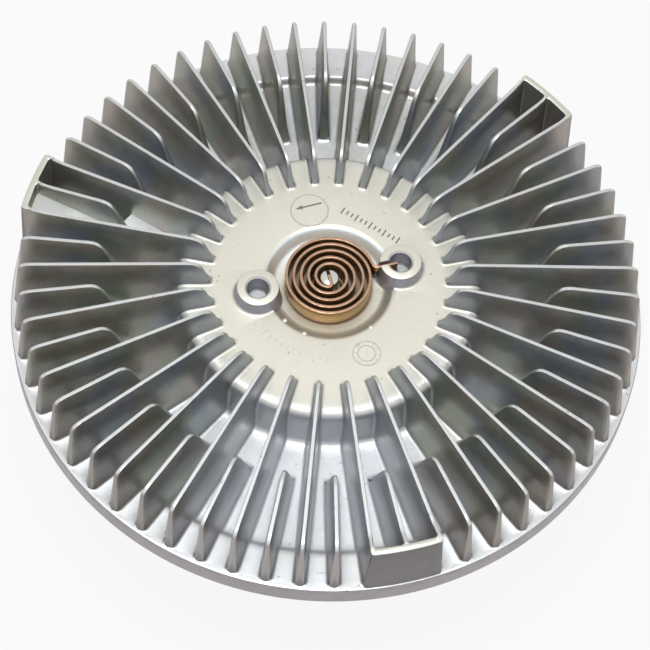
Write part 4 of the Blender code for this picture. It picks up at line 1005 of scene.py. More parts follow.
def fan_pad(angle):
    """Round pad for the fan, with a spot-faced end and a flared foot."""
    foot = 14.4 * MM
    profile = rounded(
        [
            (0, Z_WEB_REAR + 1.5 * MM, 0),
            (foot, Z_WEB_REAR + 1.5 * MM, 0),
            (foot, Z_WEB_REAR + 0.05 * MM, 0),
            (12.5 * MM, Z_WEB_REAR, 1.8 * MM),
            (12 * MM, Z_PAD, 0.7 * MM),
            (0, Z_PAD, 0),
        ]
    )
    return placed(spun(profile, 72), 0, polar(FAN_CIRCLE, angle))


def rear_body(ribs):
    """Body casting with its bearing seat, lands, flange, ribs and fan pads."""
    body = spun(body_section(), 240)
    for index in range(ribs):
        body = combined(body, rib((index + 0.5) * 360 / ribs), "UNION")
    for angle in FAN_PAD_ANGLES:
        body = combined(body, fan_pad(angle), "UNION")
        bore, bottom = 4.3 * MM, Z_PAD + 10.3 * MM
        hole = [(0, Z_PAD - 5 * MM), (5.4 * MM, Z_PAD - 1 * MM), (bore, Z_PAD + 0.1 * MM)]
        hole += [(bore, bottom), (0, bottom)]
        body = combined(body, placed(spun(hole, 48), 0, polar(FAN_CIRCLE, angle)), "DIFFERENCE")
    return piece("body_casting", body, "housing", ["rear_body"], "cast_body")


# Drive hub, studs and bearing


def thread_ridge(radius, pitch, depth, low, high):
    """Helical ridge of a thread: positive depth stands out of a rod, negative out of a bore's wall."""
    steps = 36
    root = radius - depth
    turns = (high - low) / pitch
    bm = bmesh.new()
    section = [
        (root - depth * 0.3, low - pitch * 0.46),
        (radius, low - pitch * 0.08),
        (radius, low + pitch * 0.08),
        (root - depth * 0.3, low + pitch * 0.46),
    ]
    verts = [bm.verts.new((r, 0, z)) for r, z in section]
    face = bm.faces.new(verts)
    count = round(turns * steps)
    bmesh.ops.spin(
        bm,
        geom=[face] + list(face.edges) + verts,
        cent=(0, 0, 0),
        axis=(0, 0, 1),
        dvec=(0, 0, pitch / steps),
        angle=math.tau * count / steps,
        steps=count,
    )
    bmesh.ops.recalc_face_normals(bm, faces=bm.faces)
    return bm


def drive_hub():
    """Steel hub: chamfered hexagon, threaded socket, journal and splined end."""
    corner = 25 * MM / math.cos(math.pi / 6)
    hexagon = prism([polar(corner, 60 * k) for k in range(6)], 0, HEX_HEIGHT)
    face = 23.8 * MM
    chamfer = 2.4 * MM
    limit = [
        (0, 0),
        (face, 0),
        (corner, chamfer),
        (corner, HEX_HEIGHT - chamfer),
        (face, HEX_HEIGHT),
        (0, HEX_HEIGHT),
    ]
    hub = combined(hexagon, spun(limit, 144), "INTERSECT")
    neck_low, shoulder, journal = 15 * MM, 21 * MM, 17.2 * MM
    neck = rounded(
        [
            (0, neck_low, 0),
            (shoulder, neck_low, 0),
            (shoulder, Z_SHOULDER, 0.6 * MM),
            (journal, Z_SHOULDER, 0),
            (journal, Z_BEARING_FRONT, 0.5 * MM),
            (0, Z_BEARING_FRONT, 0),
        ]
    )
    hub = combined(hub, spun(neck, 96), "UNION")
    teeth = []
    for tooth in range(12):
        for radius, share in ((13.8, -0.3), (15.2, -0.17), (15.2, 0.17), (13.8, 0.3)):
            teeth.append(polar(radius * MM, (tooth + share) * 30))
    hub = combined(hub, prism(teeth, Z_BEARING_FRONT - FIT, Z_SHAFT_END), "UNION")
    groove = [(13.2, 60), (17, 60), (17, 61.8), (13.2, 61.8)]
    hub = combined(hub, spun(in_mm(groove), 96), "DIFFERENCE")
    socket = [(0, -1), (16.6, -1), (14.25, 1.4), (14.25, 21.6), (15.4, 22.8), (15.4, 24), (0, 27.5)]
    hub = combined(hub, spun(in_mm(socket), 96), "DIFFERENCE")
    thread = thread_ridge(13.5 * MM, 1.5 * MM, -0.8 * MM, 1.6 * MM, 21 * MM)
    hub = combined(hub, thread, "UNION")
    return piece("drive_hub", hub, "drive", ["drive_shaft"], "hub_steel")


def fan_stud(index):
    """Threaded stud in a fan pad."""
    low, high = (corner.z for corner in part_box(f"fan_stud_{index}"))
    core, plain = 3.35 * MM, 3.98 * MM
    rod = spun([(0, low), (2.7 * MM, low), (core, low + 0.7 * MM), (core, high), (0, high)], 48)
    thread = thread_ridge(3.95 * MM, 1.25 * MM, 0.62 * MM, low + 1.3 * MM, Z_PAD - 2.5 * MM)
    rod = combined(rod, thread, "UNION")
    shank = [(0, Z_PAD - 2 * MM), (3.6 * MM, Z_PAD - 2 * MM), (plain, Z_PAD - 1.5 * MM)]
    shank += [(plain, high), (0, high)]
    rod = combined(rod, spun(shank, 48), "UNION")
    placed(rod, 0, polar(FAN_CIRCLE, FAN_PAD_ANGLES[index - 1]))
    return piece(f"stud_{index}", rod, "housing", [f"fan_stud_{index}"], "plated_steel")


def bearing_faces():
    """Races and seals, which show behind the body."""
    pitch, land, ball = 26.75 * MM, 2.75 * MM, 5.9 * MM
    bore, outside = 17.5 * MM, 36 * MM
    mid = (Z_BEARING_REAR + Z_BEARING_FRONT) / 2
    groove = []
    for step in range(9):
        turn = math.radians(60) * (1 - step / 4)
        groove.append((ball * math.cos(turn), mid + ball * math.sin(turn)))
    inner = [(bore, Z_BEARING_FRONT), (pitch - land, Z_BEARING_FRONT)]
    inner += [(pitch - r, z) for r, z in groove if r > land]
    inner += [(pitch - land, Z_BEARING_REAR), (bore, Z_BEARING_REAR)]
    piece("inner_race", spun(inner, 96), "drive", ["bearing_inner_race"], "bearing_steel")
    step = pitch + land + 0.9 * MM
    ledge, thick = 1.5 * MM, 0.9 * MM
    outer = [(outside, Z_BEARING_FRONT), (step, Z_BEARING_FRONT), (step, Z_BEARING_FRONT - ledge)]
    outer += [(pitch + land, Z_BEARING_FRONT - ledge)]
    outer += [(pitch + r, z) for r, z in groove if r > land]
    outer += [(pitch + land, Z_BEARING_REAR + ledge), (step, Z_BEARING_REAR + ledge), (step, Z_BEARING_REAR)]
    outer += [(outside - 0.5 * MM, Z_BEARING_REAR), (outside, Z_BEARING_REAR + 0.5 * MM)]
    piece("outer_race", spun(outer, 96), "housing", ["bearing_outer_race"], "bearing_steel")
    seal_start, seal_end = 24.3 * MM, 30.1 * MM
    for name, low in (("rear", Z_BEARING_REAR + FIT), ("front", Z_BEARING_FRONT - FIT - thick)):
        high = low + thick
        if name == "rear":
            lips = ((24.4, 0.15), (25.2, 0), (26, 0.25), (28.5, 0.25), (29.4, 0), (30, 0.1))
            beads = [(r * MM, low + lift * MM) for r, lift in lips]
            seal = [(seal_start, high)] + beads + [(seal_end, high)]
        else:
            seal = [(seal_start, low), (seal_end, low), (seal_end, high), (seal_start, high)]
        piece(f"seal_{name}", spun(seal, 96), "housing", [f"bearing_seal_{name}"], "seal_rubber")


def circlip():
    """Internal circlip with its two eyes, behind the bearing."""
    outer = 38 * MM
    gap = 12
    outside, inside = [], []
    steps = 90
    for step in range(steps + 1):
        angle = gap + (360 - 2 * gap) * step / steps
        eye = min(angle - gap, 360 - gap - angle)
        width = 4 * MM + (2.6 * MM if eye < 5 else 0)
        outside.append(polar(outer, angle + 180))
        inside.append(polar(outer - width, angle + 180))
    clip = prism(outside + inside[::-1], Z_CLIP, Z_CLIP + 1.6 * MM)
    low, high, bore = Z_CLIP - MM, Z_CLIP + 3 * MM, 1.2 * MM
    for angle in (180 + gap + 3, 180 - gap - 3):
        hole = spun([(0, low), (bore, low), (bore, high), (0, high)], 24)
        clip = combined(clip, placed(hole, 0, polar(34 * MM, angle)), "DIFFERENCE")
    return piece("circlip", clip, "housing", ["bearing_clip"], "spring_steel")


# Materials


def rgba(colour):
    """Colour of a socket, or of three numbers with an opaque alpha."""
    return colour if isinstance(colour, bpy.types.NodeSocket) else (*colour, 1)


def toned(colour, share):
    """Colour made darker or lighter."""
    return [share * part for part in colour]


class Nodes:
    """Builds one node tree."""

    def __init__(self, tree):
        self.tree = tree

    def add(self, kind, inputs=(), **settings):
        """Node of a kind with its settings. An input takes a value or another node's output."""
        node = self.tree.nodes.new("ShaderNode" + kind)
        for name, value in settings.items():
            setattr(node, name, value)
        for key, value in dict(inputs).items():
            self.feed(node.inputs[key], value)
        return node

    def feed(self, socket, value):
        """Link an output to a socket, or set the socket's own value."""
        if isinstance(value, bpy.types.NodeSocket):
            self.tree.links.new(value, socket)
        else:
            socket.default_value = value

    def math(self, operation, *values):
        """Result of a sum on values or outputs."""
        return self.add("Math", enumerate(values), operation=operation).outputs[0]

    def span(self, value, low, high, start=0.0, end=1.0):
        """Smooth step from start to end while the value goes from low to high."""
        limits = {"Value": value, "From Min": low, "From Max": high, "To Min": start, "To Max": end}
        return self.add("MapRange", limits, interpolation_type="SMOOTHSTEP").outputs["Result"]

    def both(self, *masks):
        """Product of masks."""
        whole = masks[0]
        for mask in masks[1:]:
            whole = self.math("MULTIPLY", whole, mask)
        return whole

    def mix(self, share, under, over):
        """Second colour over the first, by a mask."""
        inputs = {0: share, 6: rgba(under), 7: rgba(over)}
        return self.add("Mix", inputs, data_type="RGBA").outputs[2]

    def noise(self, place, scale, detail=2.0, roughness=0.5):
        """Noise of a scale in features to the metre, about 0 to 1."""
        inputs = {"Vector": place, "Scale": scale, "Detail": detail, "Roughness": roughness}
        return self.add("TexNoise", inputs).outputs["Fac"]

    def use(self, group, **inputs):
        """Outputs of a shared effect; an input's name has its spaces as underscores."""
        node = self.add("Group", node_tree=group)
        for name, value in inputs.items():
            self.feed(node.inputs[name.replace("_", " ")], value)
        return node.outputs

    def across_axis(self, place):
        """Parts of a position, the position at height 0, and its distance from the axis."""
        parts = self.add("SeparateXYZ", {0: place}).outputs
        level = self.add("CombineXYZ", {"X": parts["X"], "Y": parts["Y"]}).outputs[0]
        return parts, level, self.add("VectorMath", {0: level}, operation="LENGTH").outputs["Value"]

    def streaks(self, along, detail):
        """Noise along one line."""
        inputs = {"W": along, "Scale": 1.0, "Detail": detail}
        return self.add("TexNoise", inputs, noise_dimensions="1D").outputs["Fac"]


def shared_effect(inputs, outputs):
    """Makes a function fill a node group with named sockets, once for all materials."""

    def wrap(fill):
        def group():
            name = fill.__name__
            tree = bpy.data.node_groups.get(name)
            if tree is None:
                tree = bpy.data.node_groups.new(name, "ShaderNodeTree")
                for way, sockets in (("INPUT", inputs), ("OUTPUT", outputs)):
                    for socket, kind in sockets.items():
                        tree.interface.new_socket(socket, in_out=way, socket_type="NodeSocket" + kind)
                start = tree.nodes.new("NodeGroupInput")
                end = tree.nodes.new("NodeGroupOutput")
                for socket, value in fill(Nodes(tree), start.outputs).items():
                    tree.links.new(value, end.inputs[socket])
            return tree

        return group

    return wrap


@shared_effect({}, {"Up": "Float"})
def steepness(nodes, given):
    """1 on faces that look along the axis, 0 on walls that stand along it."""
    normal = nodes.add("TexCoord").outputs["Normal"]
    height = nodes.add("SeparateXYZ", {0: normal}).outputs["Z"]
    return {"Up": nodes.math("ABSOLUTE", height)}


@shared_effect(
    {"Position": "Vector", "Mottle Scale": "Float", "Grain Scale": "Float"},
    {"Mottle": "Float", "Grain": "Float", "Specks": "Float"},
)
def cast_grain(nodes, given):
    """Cloudy tone, fine relief and dark specks of a cast skin."""
    place = given["Position"]
    cloud = nodes.noise(place, given["Mottle Scale"], 3.0, 0.6)
    patches = nodes.noise(place, nodes.math("MULTIPLY", given["Mottle Scale"], 4.3), 2.0, 0.5)
    mottle = nodes.math("ADD", nodes.math("MULTIPLY", cloud, 0.6), nodes.math("MULTIPLY", patches, 0.4))
    grain = nodes.noise(place, given["Grain Scale"], 3.0, 0.65)
    coarse = nodes.math("MULTIPLY", given["Grain Scale"], 0.22)
    cells = nodes.add("TexVoronoi", {"Vector": place, "Scale": coarse}).outputs
    picked = nodes.add("SeparateColor", {0: cells["Color"]}).outputs["Red"]
    specks = nodes.both(nodes.span(cells["Distance"], 0.2, 0.1), nodes.span(picked, 0.86, 0.9))
    return {"Mottle": nodes.span(mottle, 0.36, 0.64), "Grain": grain, "Specks": specks}


@shared_effect({"Position": "Vector", "Spacing": "Float"}, {"Rings": "Float", "Tone": "Float"})
def turning_marks(nodes, given):
    """Fine rings that a lathe leaves on faces and walls, and their uneven tone."""
    parts, _, radius = nodes.across_axis(given["Position"])
    along = nodes.math("DIVIDE", nodes.math("ADD", radius, parts["Z"]), given["Spacing"])
    wide = nodes.math("MULTIPLY", along, 0.13)
    return {"Rings": nodes.streaks(along, 2.0), "Tone": nodes.streaks(wide, 1.0)}


@shared_effect({"Radius": "Float"}, {"Wear": "Float"})
def edge_wear(nodes, given):
    """Mask of the outer edges that handling rubs bright."""
    rounded_normal = nodes.add("Bevel", {"Radius": given["Radius"]}, samples=4).outputs[0]
    shape = nodes.add("NewGeometry").outputs
    inputs = {0: rounded_normal, 1: shape["Normal"]}
    match = nodes.add("VectorMath", inputs, operation="DOT_PRODUCT").outputs["Value"]
    outer = nodes.span(shape["Pointiness"], 0.495, 0.51)
    return {"Wear": nodes.both(nodes.span(match, 0.995, 0.9), outer)}


@shared_effect({"Position": "Vector", "Scale": "Float"}, {"Film": "Float"})
def oil_film(nodes, given):
    """Patchy film of old oil and dust."""
    patches = nodes.noise(given["Position"], given["Scale"], 4.0, 0.62)
    return {"Film": nodes.span(patches, 0.4, 0.68)}


def finish(name, metallic):
    """New material with its nodes, its shader's inputs and its object coordinates."""
    material = bpy.data.materials.new(name)
    material.use_nodes = True
    nodes = Nodes(material.node_tree)
    shader = material.node_tree.nodes["Principled BSDF"].inputs
    shader["Metallic"].default_value = metallic
    return material, nodes, shader, nodes.add("TexCoord").outputs["Object"]


def dress(nodes, shader, colour, roughness, grain, depth, strength=0.5):
    """Feed a shader its colour, its roughness and the relief of a height map, deep in metres."""
    nodes.feed(shader["Base Color"], colour)
    nodes.feed(shader["Roughness"], roughness)
    bump = nodes.add("Bump", {"Height": grain, "Distance": depth, "Strength": strength})
    nodes.feed(shader["Normal"], bump.outputs[0])


def cover_sides(nodes, settings, place, mottle, across):
    """Colour of the cover's steep faces: patchy fin sides, fin ends, lug walls, shoulder and bosses, darker
    than the faces that look up partly from the cast skin's own tone and partly as painted shade.
    """
    parts, level, radius = across
    stain = nodes.span(nodes.noise(place, 55.0, 3.0, 0.6), 0.38, 0.62)
    cool = nodes.span(nodes.noise(place, 38.0, 2.0, 0.5), 0.5, 0.66)
    hues = ((1.14, 1.0, 0.93), (0.95, 1.05, 0.88), (0.9, 0.98, 1.14))
    brown, green, blue = [[share * part for share, part in zip(hue, settings.fin_side)] for hue in hues]
    side = nodes.mix(cool, nodes.mix(stain, brown, green), blue)
    side = nodes.mix(nodes.both(mottle, 0.3), side, toned(settings.fin_side, 1.5))
    front = nodes.math("DIVIDE", parts["Y"], radius)
    # Painted sheen: the fins' sides toward the front take a paler, cooler colour that stands in for the light
    # they reflect there.
    side = nodes.mix(nodes.span(front, -0.82, -0.985), side, settings.painted_front_sheen)
    side = nodes.mix(nodes.span(radius, 92 * MM, 112 * MM, 0, 0.75), side, toned(brown, 0.62))
    fin_end = nodes.span(radius, R_FIN_END - 1.2 * MM, R_FIN_END - 0.4 * MM)
    side = nodes.mix(fin_end, side, settings.fin_end)
    side = nodes.mix(nodes.span(radius, 62 * MM, 50 * MM), side, settings.shoulder)
    turn = nodes.math("ARCTAN2", parts["Y"], parts["X"])
    first_lug = math.radians(-len(LUG_ANGLES) * LUG_ANGLES[0])
    lug_turn = nodes.math("MULTIPLY_ADD", turn, len(LUG_ANGLES), first_lug)
    lug_wall = nodes.both(
        nodes.span(radius, R_RIM - 2.6 * MM, R_RIM - 2.3 * MM),
        nodes.span(parts["Z"], Z_RING, Z_RING + MM),
        nodes.span(nodes.math("COSINE", lug_turn), 0.9, 0.93),
    )
    side = nodes.mix(lug_wall, side, settings.lug_side)
    bores = []
    for angle in BOSS_ANGLES:
        ends = {0: level, 1: polar(BOSS_CIRCLE, angle)}
        apart = nodes.add("VectorMath", ends, operation="DISTANCE").outputs["Value"]
        flank = nodes.span(apart, BOSS_FOOT_RADIUS + 0.5 * MM, BOSS_FOOT_RADIUS + 0.2 * MM)
        bores.append(nodes.span(apart, BOSS_HOLE + 0.4 * MM, BOSS_HOLE + 0.2 * MM))
        # Painted shade on the bore walls, which take the dark bore colour.
        side = nodes.mix(bores[-1], nodes.mix(flank, side, settings.boss_side), settings.bore)
    return side, bores


def cast_cover(name, settings):
    """Tumbled cast skin: pale where it faces up, dark down the fins' sides (partly its own tone, partly
    painted shade), bright on their tops.
    """
    material, nodes, shader, place = finish(name, 0.6)
    across = nodes.across_axis(place)
    radius, height = across[2], across[0]["Z"]
    grain = nodes.use(cast_grain(), Position=place, Mottle_Scale=70.0, Grain_Scale=1500.0)
    up = nodes.use(steepness())["Up"]
    flat = nodes.span(up, 0.8, 0.97)
    # Painted highlight: the recess round the coil gets paler, cooler floor and wall colours on its back half,
    # where its slope faces the light.
    dish = nodes.both(
        nodes.span(radius, R_DISH_RIM + MM, R_DISH_RIM),
        nodes.span(height, Z_PLATEAU, Z_PLATEAU - 0.3 * MM),
        nodes.span(nodes.math("DIVIDE", across[0]["Y"], radius), -0.1, 0.6),
    )
    mottled, dish_floor_highlight, dish_wall_highlight = (0.68, 0.655, 0.56), (0.84, 0.86, 0.82), (0.88, 0.94, 0.97)
    bore_floor_highlight, sunk_mark_dark, speck = (0.97, 0.96, 0.93), (0.11, 0.1, 0.08), (0.09, 0.085, 0.07)
    face = nodes.mix(nodes.span(radius, 46 * MM, 62 * MM), settings.casting, settings.floor)
    # Painted shade: the ring outside the step, down between the fins near the rim, is made a tenth darker
    # than the floor.
    ring = nodes.span(radius, R_STEP + 0.4 * MM, R_STEP + 1.4 * MM)
    face = nodes.mix(ring, face, toned(settings.floor, 0.9))
    face = nodes.mix(nodes.both(grain["Mottle"], 0.4), face, mottled)
    face = nodes.mix(dish, face, dish_floor_highlight)
    face = nodes.mix(nodes.both(dish, nodes.span(up, 0.97, 0.85)), face, dish_wall_highlight)
    sunken = nodes.span(height, Z_PLATEAU - MM, Z_PLATEAU - 2 * MM)
    below_coil = nodes.both(nodes.span(radius, 16.2 * MM, 15.6 * MM), sunken)
    face = nodes.mix(nodes.both(below_coil, 0.8), face, settings.stain)
    side, bores = cover_sides(nodes, settings, place, grain["Mottle"], across)
    # Painted highlight: the bores' bottoms get a near-white colour.
    for bore in bores:
        face = nodes.mix(bore, face, bore_floor_highlight)
    # Steep faces take the darker side colours, partly the skin's own tone and partly painted shade; in the
    # back of the recess round the coil most of it is left off, as painted highlight.
    steep = nodes.both(nodes.span(up, 0.86, 0.5), nodes.span(dish, 0, 1, 1, 0.15))
    colour = nodes.mix(steep, face, side)
    above = nodes.span(height, 86.5 * MM, 88 * MM)
    crest = nodes.both(above, nodes.span(radius, 38 * MM, 41 * MM), flat)
    lug_top = nodes.span(radius, 108.5 * MM, 109.5 * MM)
    colour = nodes.mix(crest, colour, nodes.mix(lug_top, settings.fin_top, settings.lug_top))
    # Flat faces sunk into the plateau, the floors of the sunk marks, are coloured dark.
    marks = nodes.both(
        nodes.span(height, Z_PLATEAU - 0.08 * MM, Z_PLATEAU - 0.16 * MM),
        nodes.span(height, Z_PLATEAU - 1.4 * MM, Z_PLATEAU - 1.2 * MM),
        nodes.span(radius, 24.6 * MM, 25 * MM),
        nodes.span(radius, 45 * MM, 44 * MM),
        flat,
    )
    colour = nodes.mix(nodes.both(marks, 0.75), colour, sunk_mark_dark)
    lathe = nodes.use(turning_marks(), Position=place, Spacing=0.5 * MM)
    band = nodes.both(
        nodes.span(radius, R_RIM - 0.5 * MM, R_RIM - 0.2 * MM),
        nodes.span(height, Z_RING - 0.1 * MM, Z_RING - 0.3 * MM),
    )
    colour = nodes.mix(band, colour, nodes.mix(lathe["Tone"], settings.rim, toned(settings.rim, 0.8)))
    colour = nodes.mix(nodes.both(grain["Specks"], 0.35), colour, speck)
    dull = nodes.both(steep, nodes.span(band, 1, 0))
    nodes.feed(shader["Metallic"], nodes.span(dull, 0, 1, 0.65, 0.8))
    rough = nodes.math("MULTIPLY_ADD", grain["Mottle"], 0.1, nodes.span(dull, 0, 1, 0.33, 0.34))
    skin = nodes.add("Mix", {0: band, 2: grain["Grain"], 3: lathe["Rings"]}).outputs[0]
    dress(nodes, shader, colour, rough, skin, 0.12 * MM)
    return material


def cast_body(name, settings):
    """Plainer casting of the rear body, turned on its pads, hub face and flange."""
    material, nodes, shader, place = finish(name, 0.6)
    parts, _, radius = nodes.across_axis(place)
    grain = nodes.use(cast_grain(), Position=place, Mottle_Scale=55.0, Grain_Scale=1100.0)
    up = nodes.use(steepness())["Up"]
    lathe = nodes.use(turning_marks(), Position=place, Spacing=0.6 * MM)
    pale = nodes.mix(grain["Mottle"], settings.casting, toned(settings.casting, 0.78))
    dark = nodes.mix(grain["Mottle"], settings.casting_side, toned(settings.casting_side, 1.35))
    # Steep walls take the darker side colour, partly the skin's own tone and partly painted shade.
    colour = nodes.mix(nodes.span(up, 0.86, 0.5), pale, dark)
    flat = nodes.span(up, 0.97, 0.99)
    pads = nodes.span(parts["Z"], Z_PAD + 0.4 * MM, Z_PAD + 0.1 * MM)
    pads = nodes.both(flat, pads, nodes.span(radius, 58 * MM, 58.5 * MM))
    tail = nodes.both(flat, nodes.span(parts["Z"], Z_TAIL + 0.4 * MM, Z_TAIL + 0.1 * MM))
    seat = nodes.both(nodes.span(radius, 38.5 * MM, 38.2 * MM), nodes.span(up, 0.5, 0.3))
    turned = nodes.math("MAXIMUM", nodes.math("MAXIMUM", pads, tail), seat)
    bright = nodes.mix(lathe["Tone"], settings.turned, toned(settings.turned, 0.82))
    colour = nodes.mix(turned, colour, bright)
    film = nodes.use(oil_film(), Position=place, Scale=38.0)["Film"]
    grime, speck = (0.2, 0.175, 0.13), (0.08, 0.075, 0.065)
    colour = nodes.mix(nodes.both(film, 0.28), colour, grime)
    colour = nodes.mix(nodes.both(grain["Specks"], 0.5), colour, speck)
    rough = nodes.span(grain["Mottle"], 0, 1, 0.36, 0.5)
    skin = nodes.add("Mix", {0: turned, 2: grain["Grain"], 3: lathe["Rings"]}).outputs[0]
    dress(nodes, shader, colour, rough, skin, 0.15 * MM, 0.6)
    return material


def turned_metal(name, colour, roughness, spacing, film_tint, film_share, wear=1.0):
    """Bare metal off a lathe, with its rings, a little old oil and bright edges."""
    material, nodes, shader, place = finish(name, 1.0)
    lathe = nodes.use(turning_marks(), Position=place, Spacing=spacing)
    film = nodes.use(oil_film(), Position=place, Scale=60.0)["Film"]
    edges = nodes.use(edge_wear(), Radius=0.4 * MM)["Wear"]
    shade = nodes.mix(lathe["Tone"], colour, toned(colour, 0.72))
    shade = nodes.mix(nodes.both(film, film_share), shade, film_tint)
    shade = nodes.mix(nodes.both(edges, wear * 0.6), shade, [min(0.9, 1.35 * share) for share in colour])
    rough = nodes.span(film, 0, 1, roughness, roughness + 0.14)
    dress(nodes, shader, shade, rough, lathe["Rings"], 0.05 * MM)
    return material


def bimetal(name, settings):
    """Rolled strip: bright sheared edges, copper-brown faces with shade painted on them deep between the
    turns.
    """
    material, nodes, shader, place = finish(name, 0.8)
    up = nodes.use(steepness())["Up"]
    grain = nodes.use(cast_grain(), Position=place, Mottle_Scale=160.0, Grain_Scale=2600.0)
    stretched = nodes.add("Mapping", {"Vector": place, "Scale": (1, 1, 9)}).outputs[0]
    rolled = nodes.noise(stretched, 700.0, 2.0, 0.6)
    edge = nodes.mix(grain["Mottle"], settings.edge, toned(settings.edge, 0.7))
    face = nodes.mix(rolled, settings.face, toned(settings.face, 0.55))
    outside = nodes.add("Attribute", attribute_name="open_side").outputs["Fac"]
    height = nodes.add("SeparateXYZ", {0: place}).outputs["Z"]
    deep = nodes.span(height, COIL_TOP - 0.6 * MM, COIL_TOP - 4 * MM)
    # Painted shade: below the top, the faces between the turns go to the dark gap colour; the outer turn's
    # open side is left out.
    face = nodes.mix(nodes.both(deep, nodes.span(outside, 0.6, 0.4)), face, settings.gap)
    top = nodes.span(up, 0.5, 0.8)
    nodes.feed(shader["Metallic"], nodes.span(top, 0, 1, 0.8, 0.85))
    rough = nodes.span(grain["Mottle"], 0, 1, 0.3, 0.42)
    dress(nodes, shader, nodes.mix(top, face, edge), rough, grain["Grain"], 0.04 * MM)
    return material


def plated(name, colour):
    """Yellow passivated zinc, with its faint rainbow."""
    material, nodes, shader, place = finish(name, 1.0)
    film = nodes.use(oil_film(), Position=place, Scale=240.0)["Film"]
    hue = nodes.noise(place, 180.0, 3.0, 0.5)
    edges = nodes.use(edge_wear(), Radius=0.2 * MM)["Wear"]
    pink, green, bare = (0.62, 0.5, 0.42), (0.5, 0.58, 0.42), (0.78, 0.76, 0.7)
    shade = nodes.mix(nodes.span(hue, 0.35, 0.65), colour, pink)
    shade = nodes.mix(nodes.both(film, 0.4), shade, green)
    shade = nodes.mix(nodes.both(edges, 0.5), shade, bare)
    rough = nodes.span(film, 0, 1, 0.26, 0.4)
    dress(nodes, shader, shade, rough, nodes.noise(place, 3000.0), 0.03 * MM, 0.4)
    return material


def moulded(name, colour, roughness, dust):
    """Moulded rubber or nylon with a fine grain and a little dust."""
    material, nodes, shader, place = finish(name, 0.0)
    grain = nodes.use(cast_grain(), Position=place, Mottle_Scale=140.0, Grain_Scale=3200.0)
    film = nodes.use(oil_film(), Position=place, Scale=90.0)["Film"]
    shade = nodes.mix(grain["Mottle"], colour, toned(colour, 1.5))
    dust_tint = (0.3, 0.27, 0.22)
    shade = nodes.mix(nodes.both(film, dust), shade, dust_tint)
    rough = nodes.span(film, 0, 1, roughness, roughness + 0.2)
    dress(nodes, shader, shade, rough, grain["Grain"], 0.05 * MM)
    return material


def sintered(name, colour):
    """Porous bronze, worn smooth."""
    material, nodes, shader, place = finish(name, 1.0)
    grain = nodes.use(cast_grain(), Position=place, Mottle_Scale=260.0, Grain_Scale=3600.0)
    shade = nodes.mix(grain["Mottle"], colour, toned(colour, 0.7))
    pore = (0.12, 0.07, 0.03)
    shade = nodes.mix(grain["Specks"], shade, pore)
    rough = nodes.span(grain["Mottle"], 0, 1, 0.3, 0.48)
    dress(nodes, shader, shade, rough, grain["Grain"], 0.04 * MM, 0.6)
    return material


def slot_finish(slot):
    """Material of a record's slot, made once."""
    name = slot + "_finish"
    made = bpy.data.materials.get(name)
    if made:
        return made
    scene = bpy.context.scene
    oil, varnish, tempering = (0.22, 0.17, 0.1), (0.4, 0.33, 0.22), (0.12, 0.08, 0.04)
    makers = {
        "cast_cover": lambda: cast_cover(name, scene.fan_clutch_cover),
        "cast_body": lambda: cast_body(name, scene.fan_clutch_body),
        "bimetal": lambda: bimetal(name, scene.fan_clutch_coil),
        "turned_plate": lambda: turned_metal(name, (0.62, 0.61, 0.59), 0.3, 0.5 * MM, oil, 0.25),
        "hub_steel": lambda: turned_metal(name, scene.fan_clutch_body.steel, 0.27, 0.45 * MM, oil, 0.3),
        "bearing_steel": lambda: turned_metal(name, (0.56, 0.56, 0.57), 0.16, 0.2 * MM, oil, 0.1, 0.5),
        "valve_steel": lambda: turned_metal(name, (0.72, 0.71, 0.68), 0.2, 0.18 * MM, varnish, 0.2),
        "spring_steel": lambda: turned_metal(name, (0.1, 0.1, 0.105), 0.36, 0.3 * MM, tempering, 0.3),
        "plated_steel": lambda: plated(name, (0.62, 0.56, 0.38)),
        "bronze": lambda: sintered(name, (0.52, 0.37, 0.2)),
        "seal_rubber": lambda: moulded(name, (0.022, 0.021, 0.02), 0.45, 0.1),
        "brown_nylon": lambda: moulded(name, (0.2, 0.115, 0.045), 0.38, 0.06),
    }
    return makers[slot]()


# Stage


def studio(settings):
    """Floor, sky and lamp."""
    mesh = bpy.data.meshes.new("floor")
    floor = bmesh.new()
    bmesh.ops.create_circle(floor, cap_ends=True, segments=64, radius=6)
    placed(floor, 0, (0, 0, -0.2 * MM)).to_mesh(mesh)
    floor.free()
    made = bpy.data.objects.new("floor", mesh)
    bpy.context.scene.collection.objects.link(made)
    mesh.materials.append(studio_floor(settings.backdrop))
    world = bpy.data.worlds.new("studio_sky")
    bpy.context.scene.world = world
    world.use_nodes = True
    nodes = Nodes(world.node_tree)
    sky = world.node_tree.nodes["Background"]
    sky.inputs["Color"].default_value = (*settings.backdrop, 1)
    level = nodes.add("MapRange", {"Value": seen_directly(nodes), "To Min": settings.fill, "To Max": 1})
    nodes.feed(sky.inputs["Strength"], level.outputs["Result"])
    softbox(settings)
    bpy.context.scene.view_settings.view_transform = "Standard"


def softbox(settings):
    """Round soft lamp overhead that faces the clutch."""
    lamp = bpy.data.lights.new("overhead_softbox", "AREA")
    lamp.shape = "DISK"
    lamp.size = settings.softbox
    lamp.energy = settings.key
    lamp.color = (0.9, 0.955, 1)
    holder = bpy.data.objects.new("overhead_softbox", lamp)
    holder.location = (-0.04, -0.1, 1.06)
    holder.rotation_mode = "QUATERNION"
    holder.rotation_quaternion = (holder.location - Vector((0, 0, 0.06))).to_track_quat("Z", "Y")
    bpy.context.scene.collection.objects.link(holder)


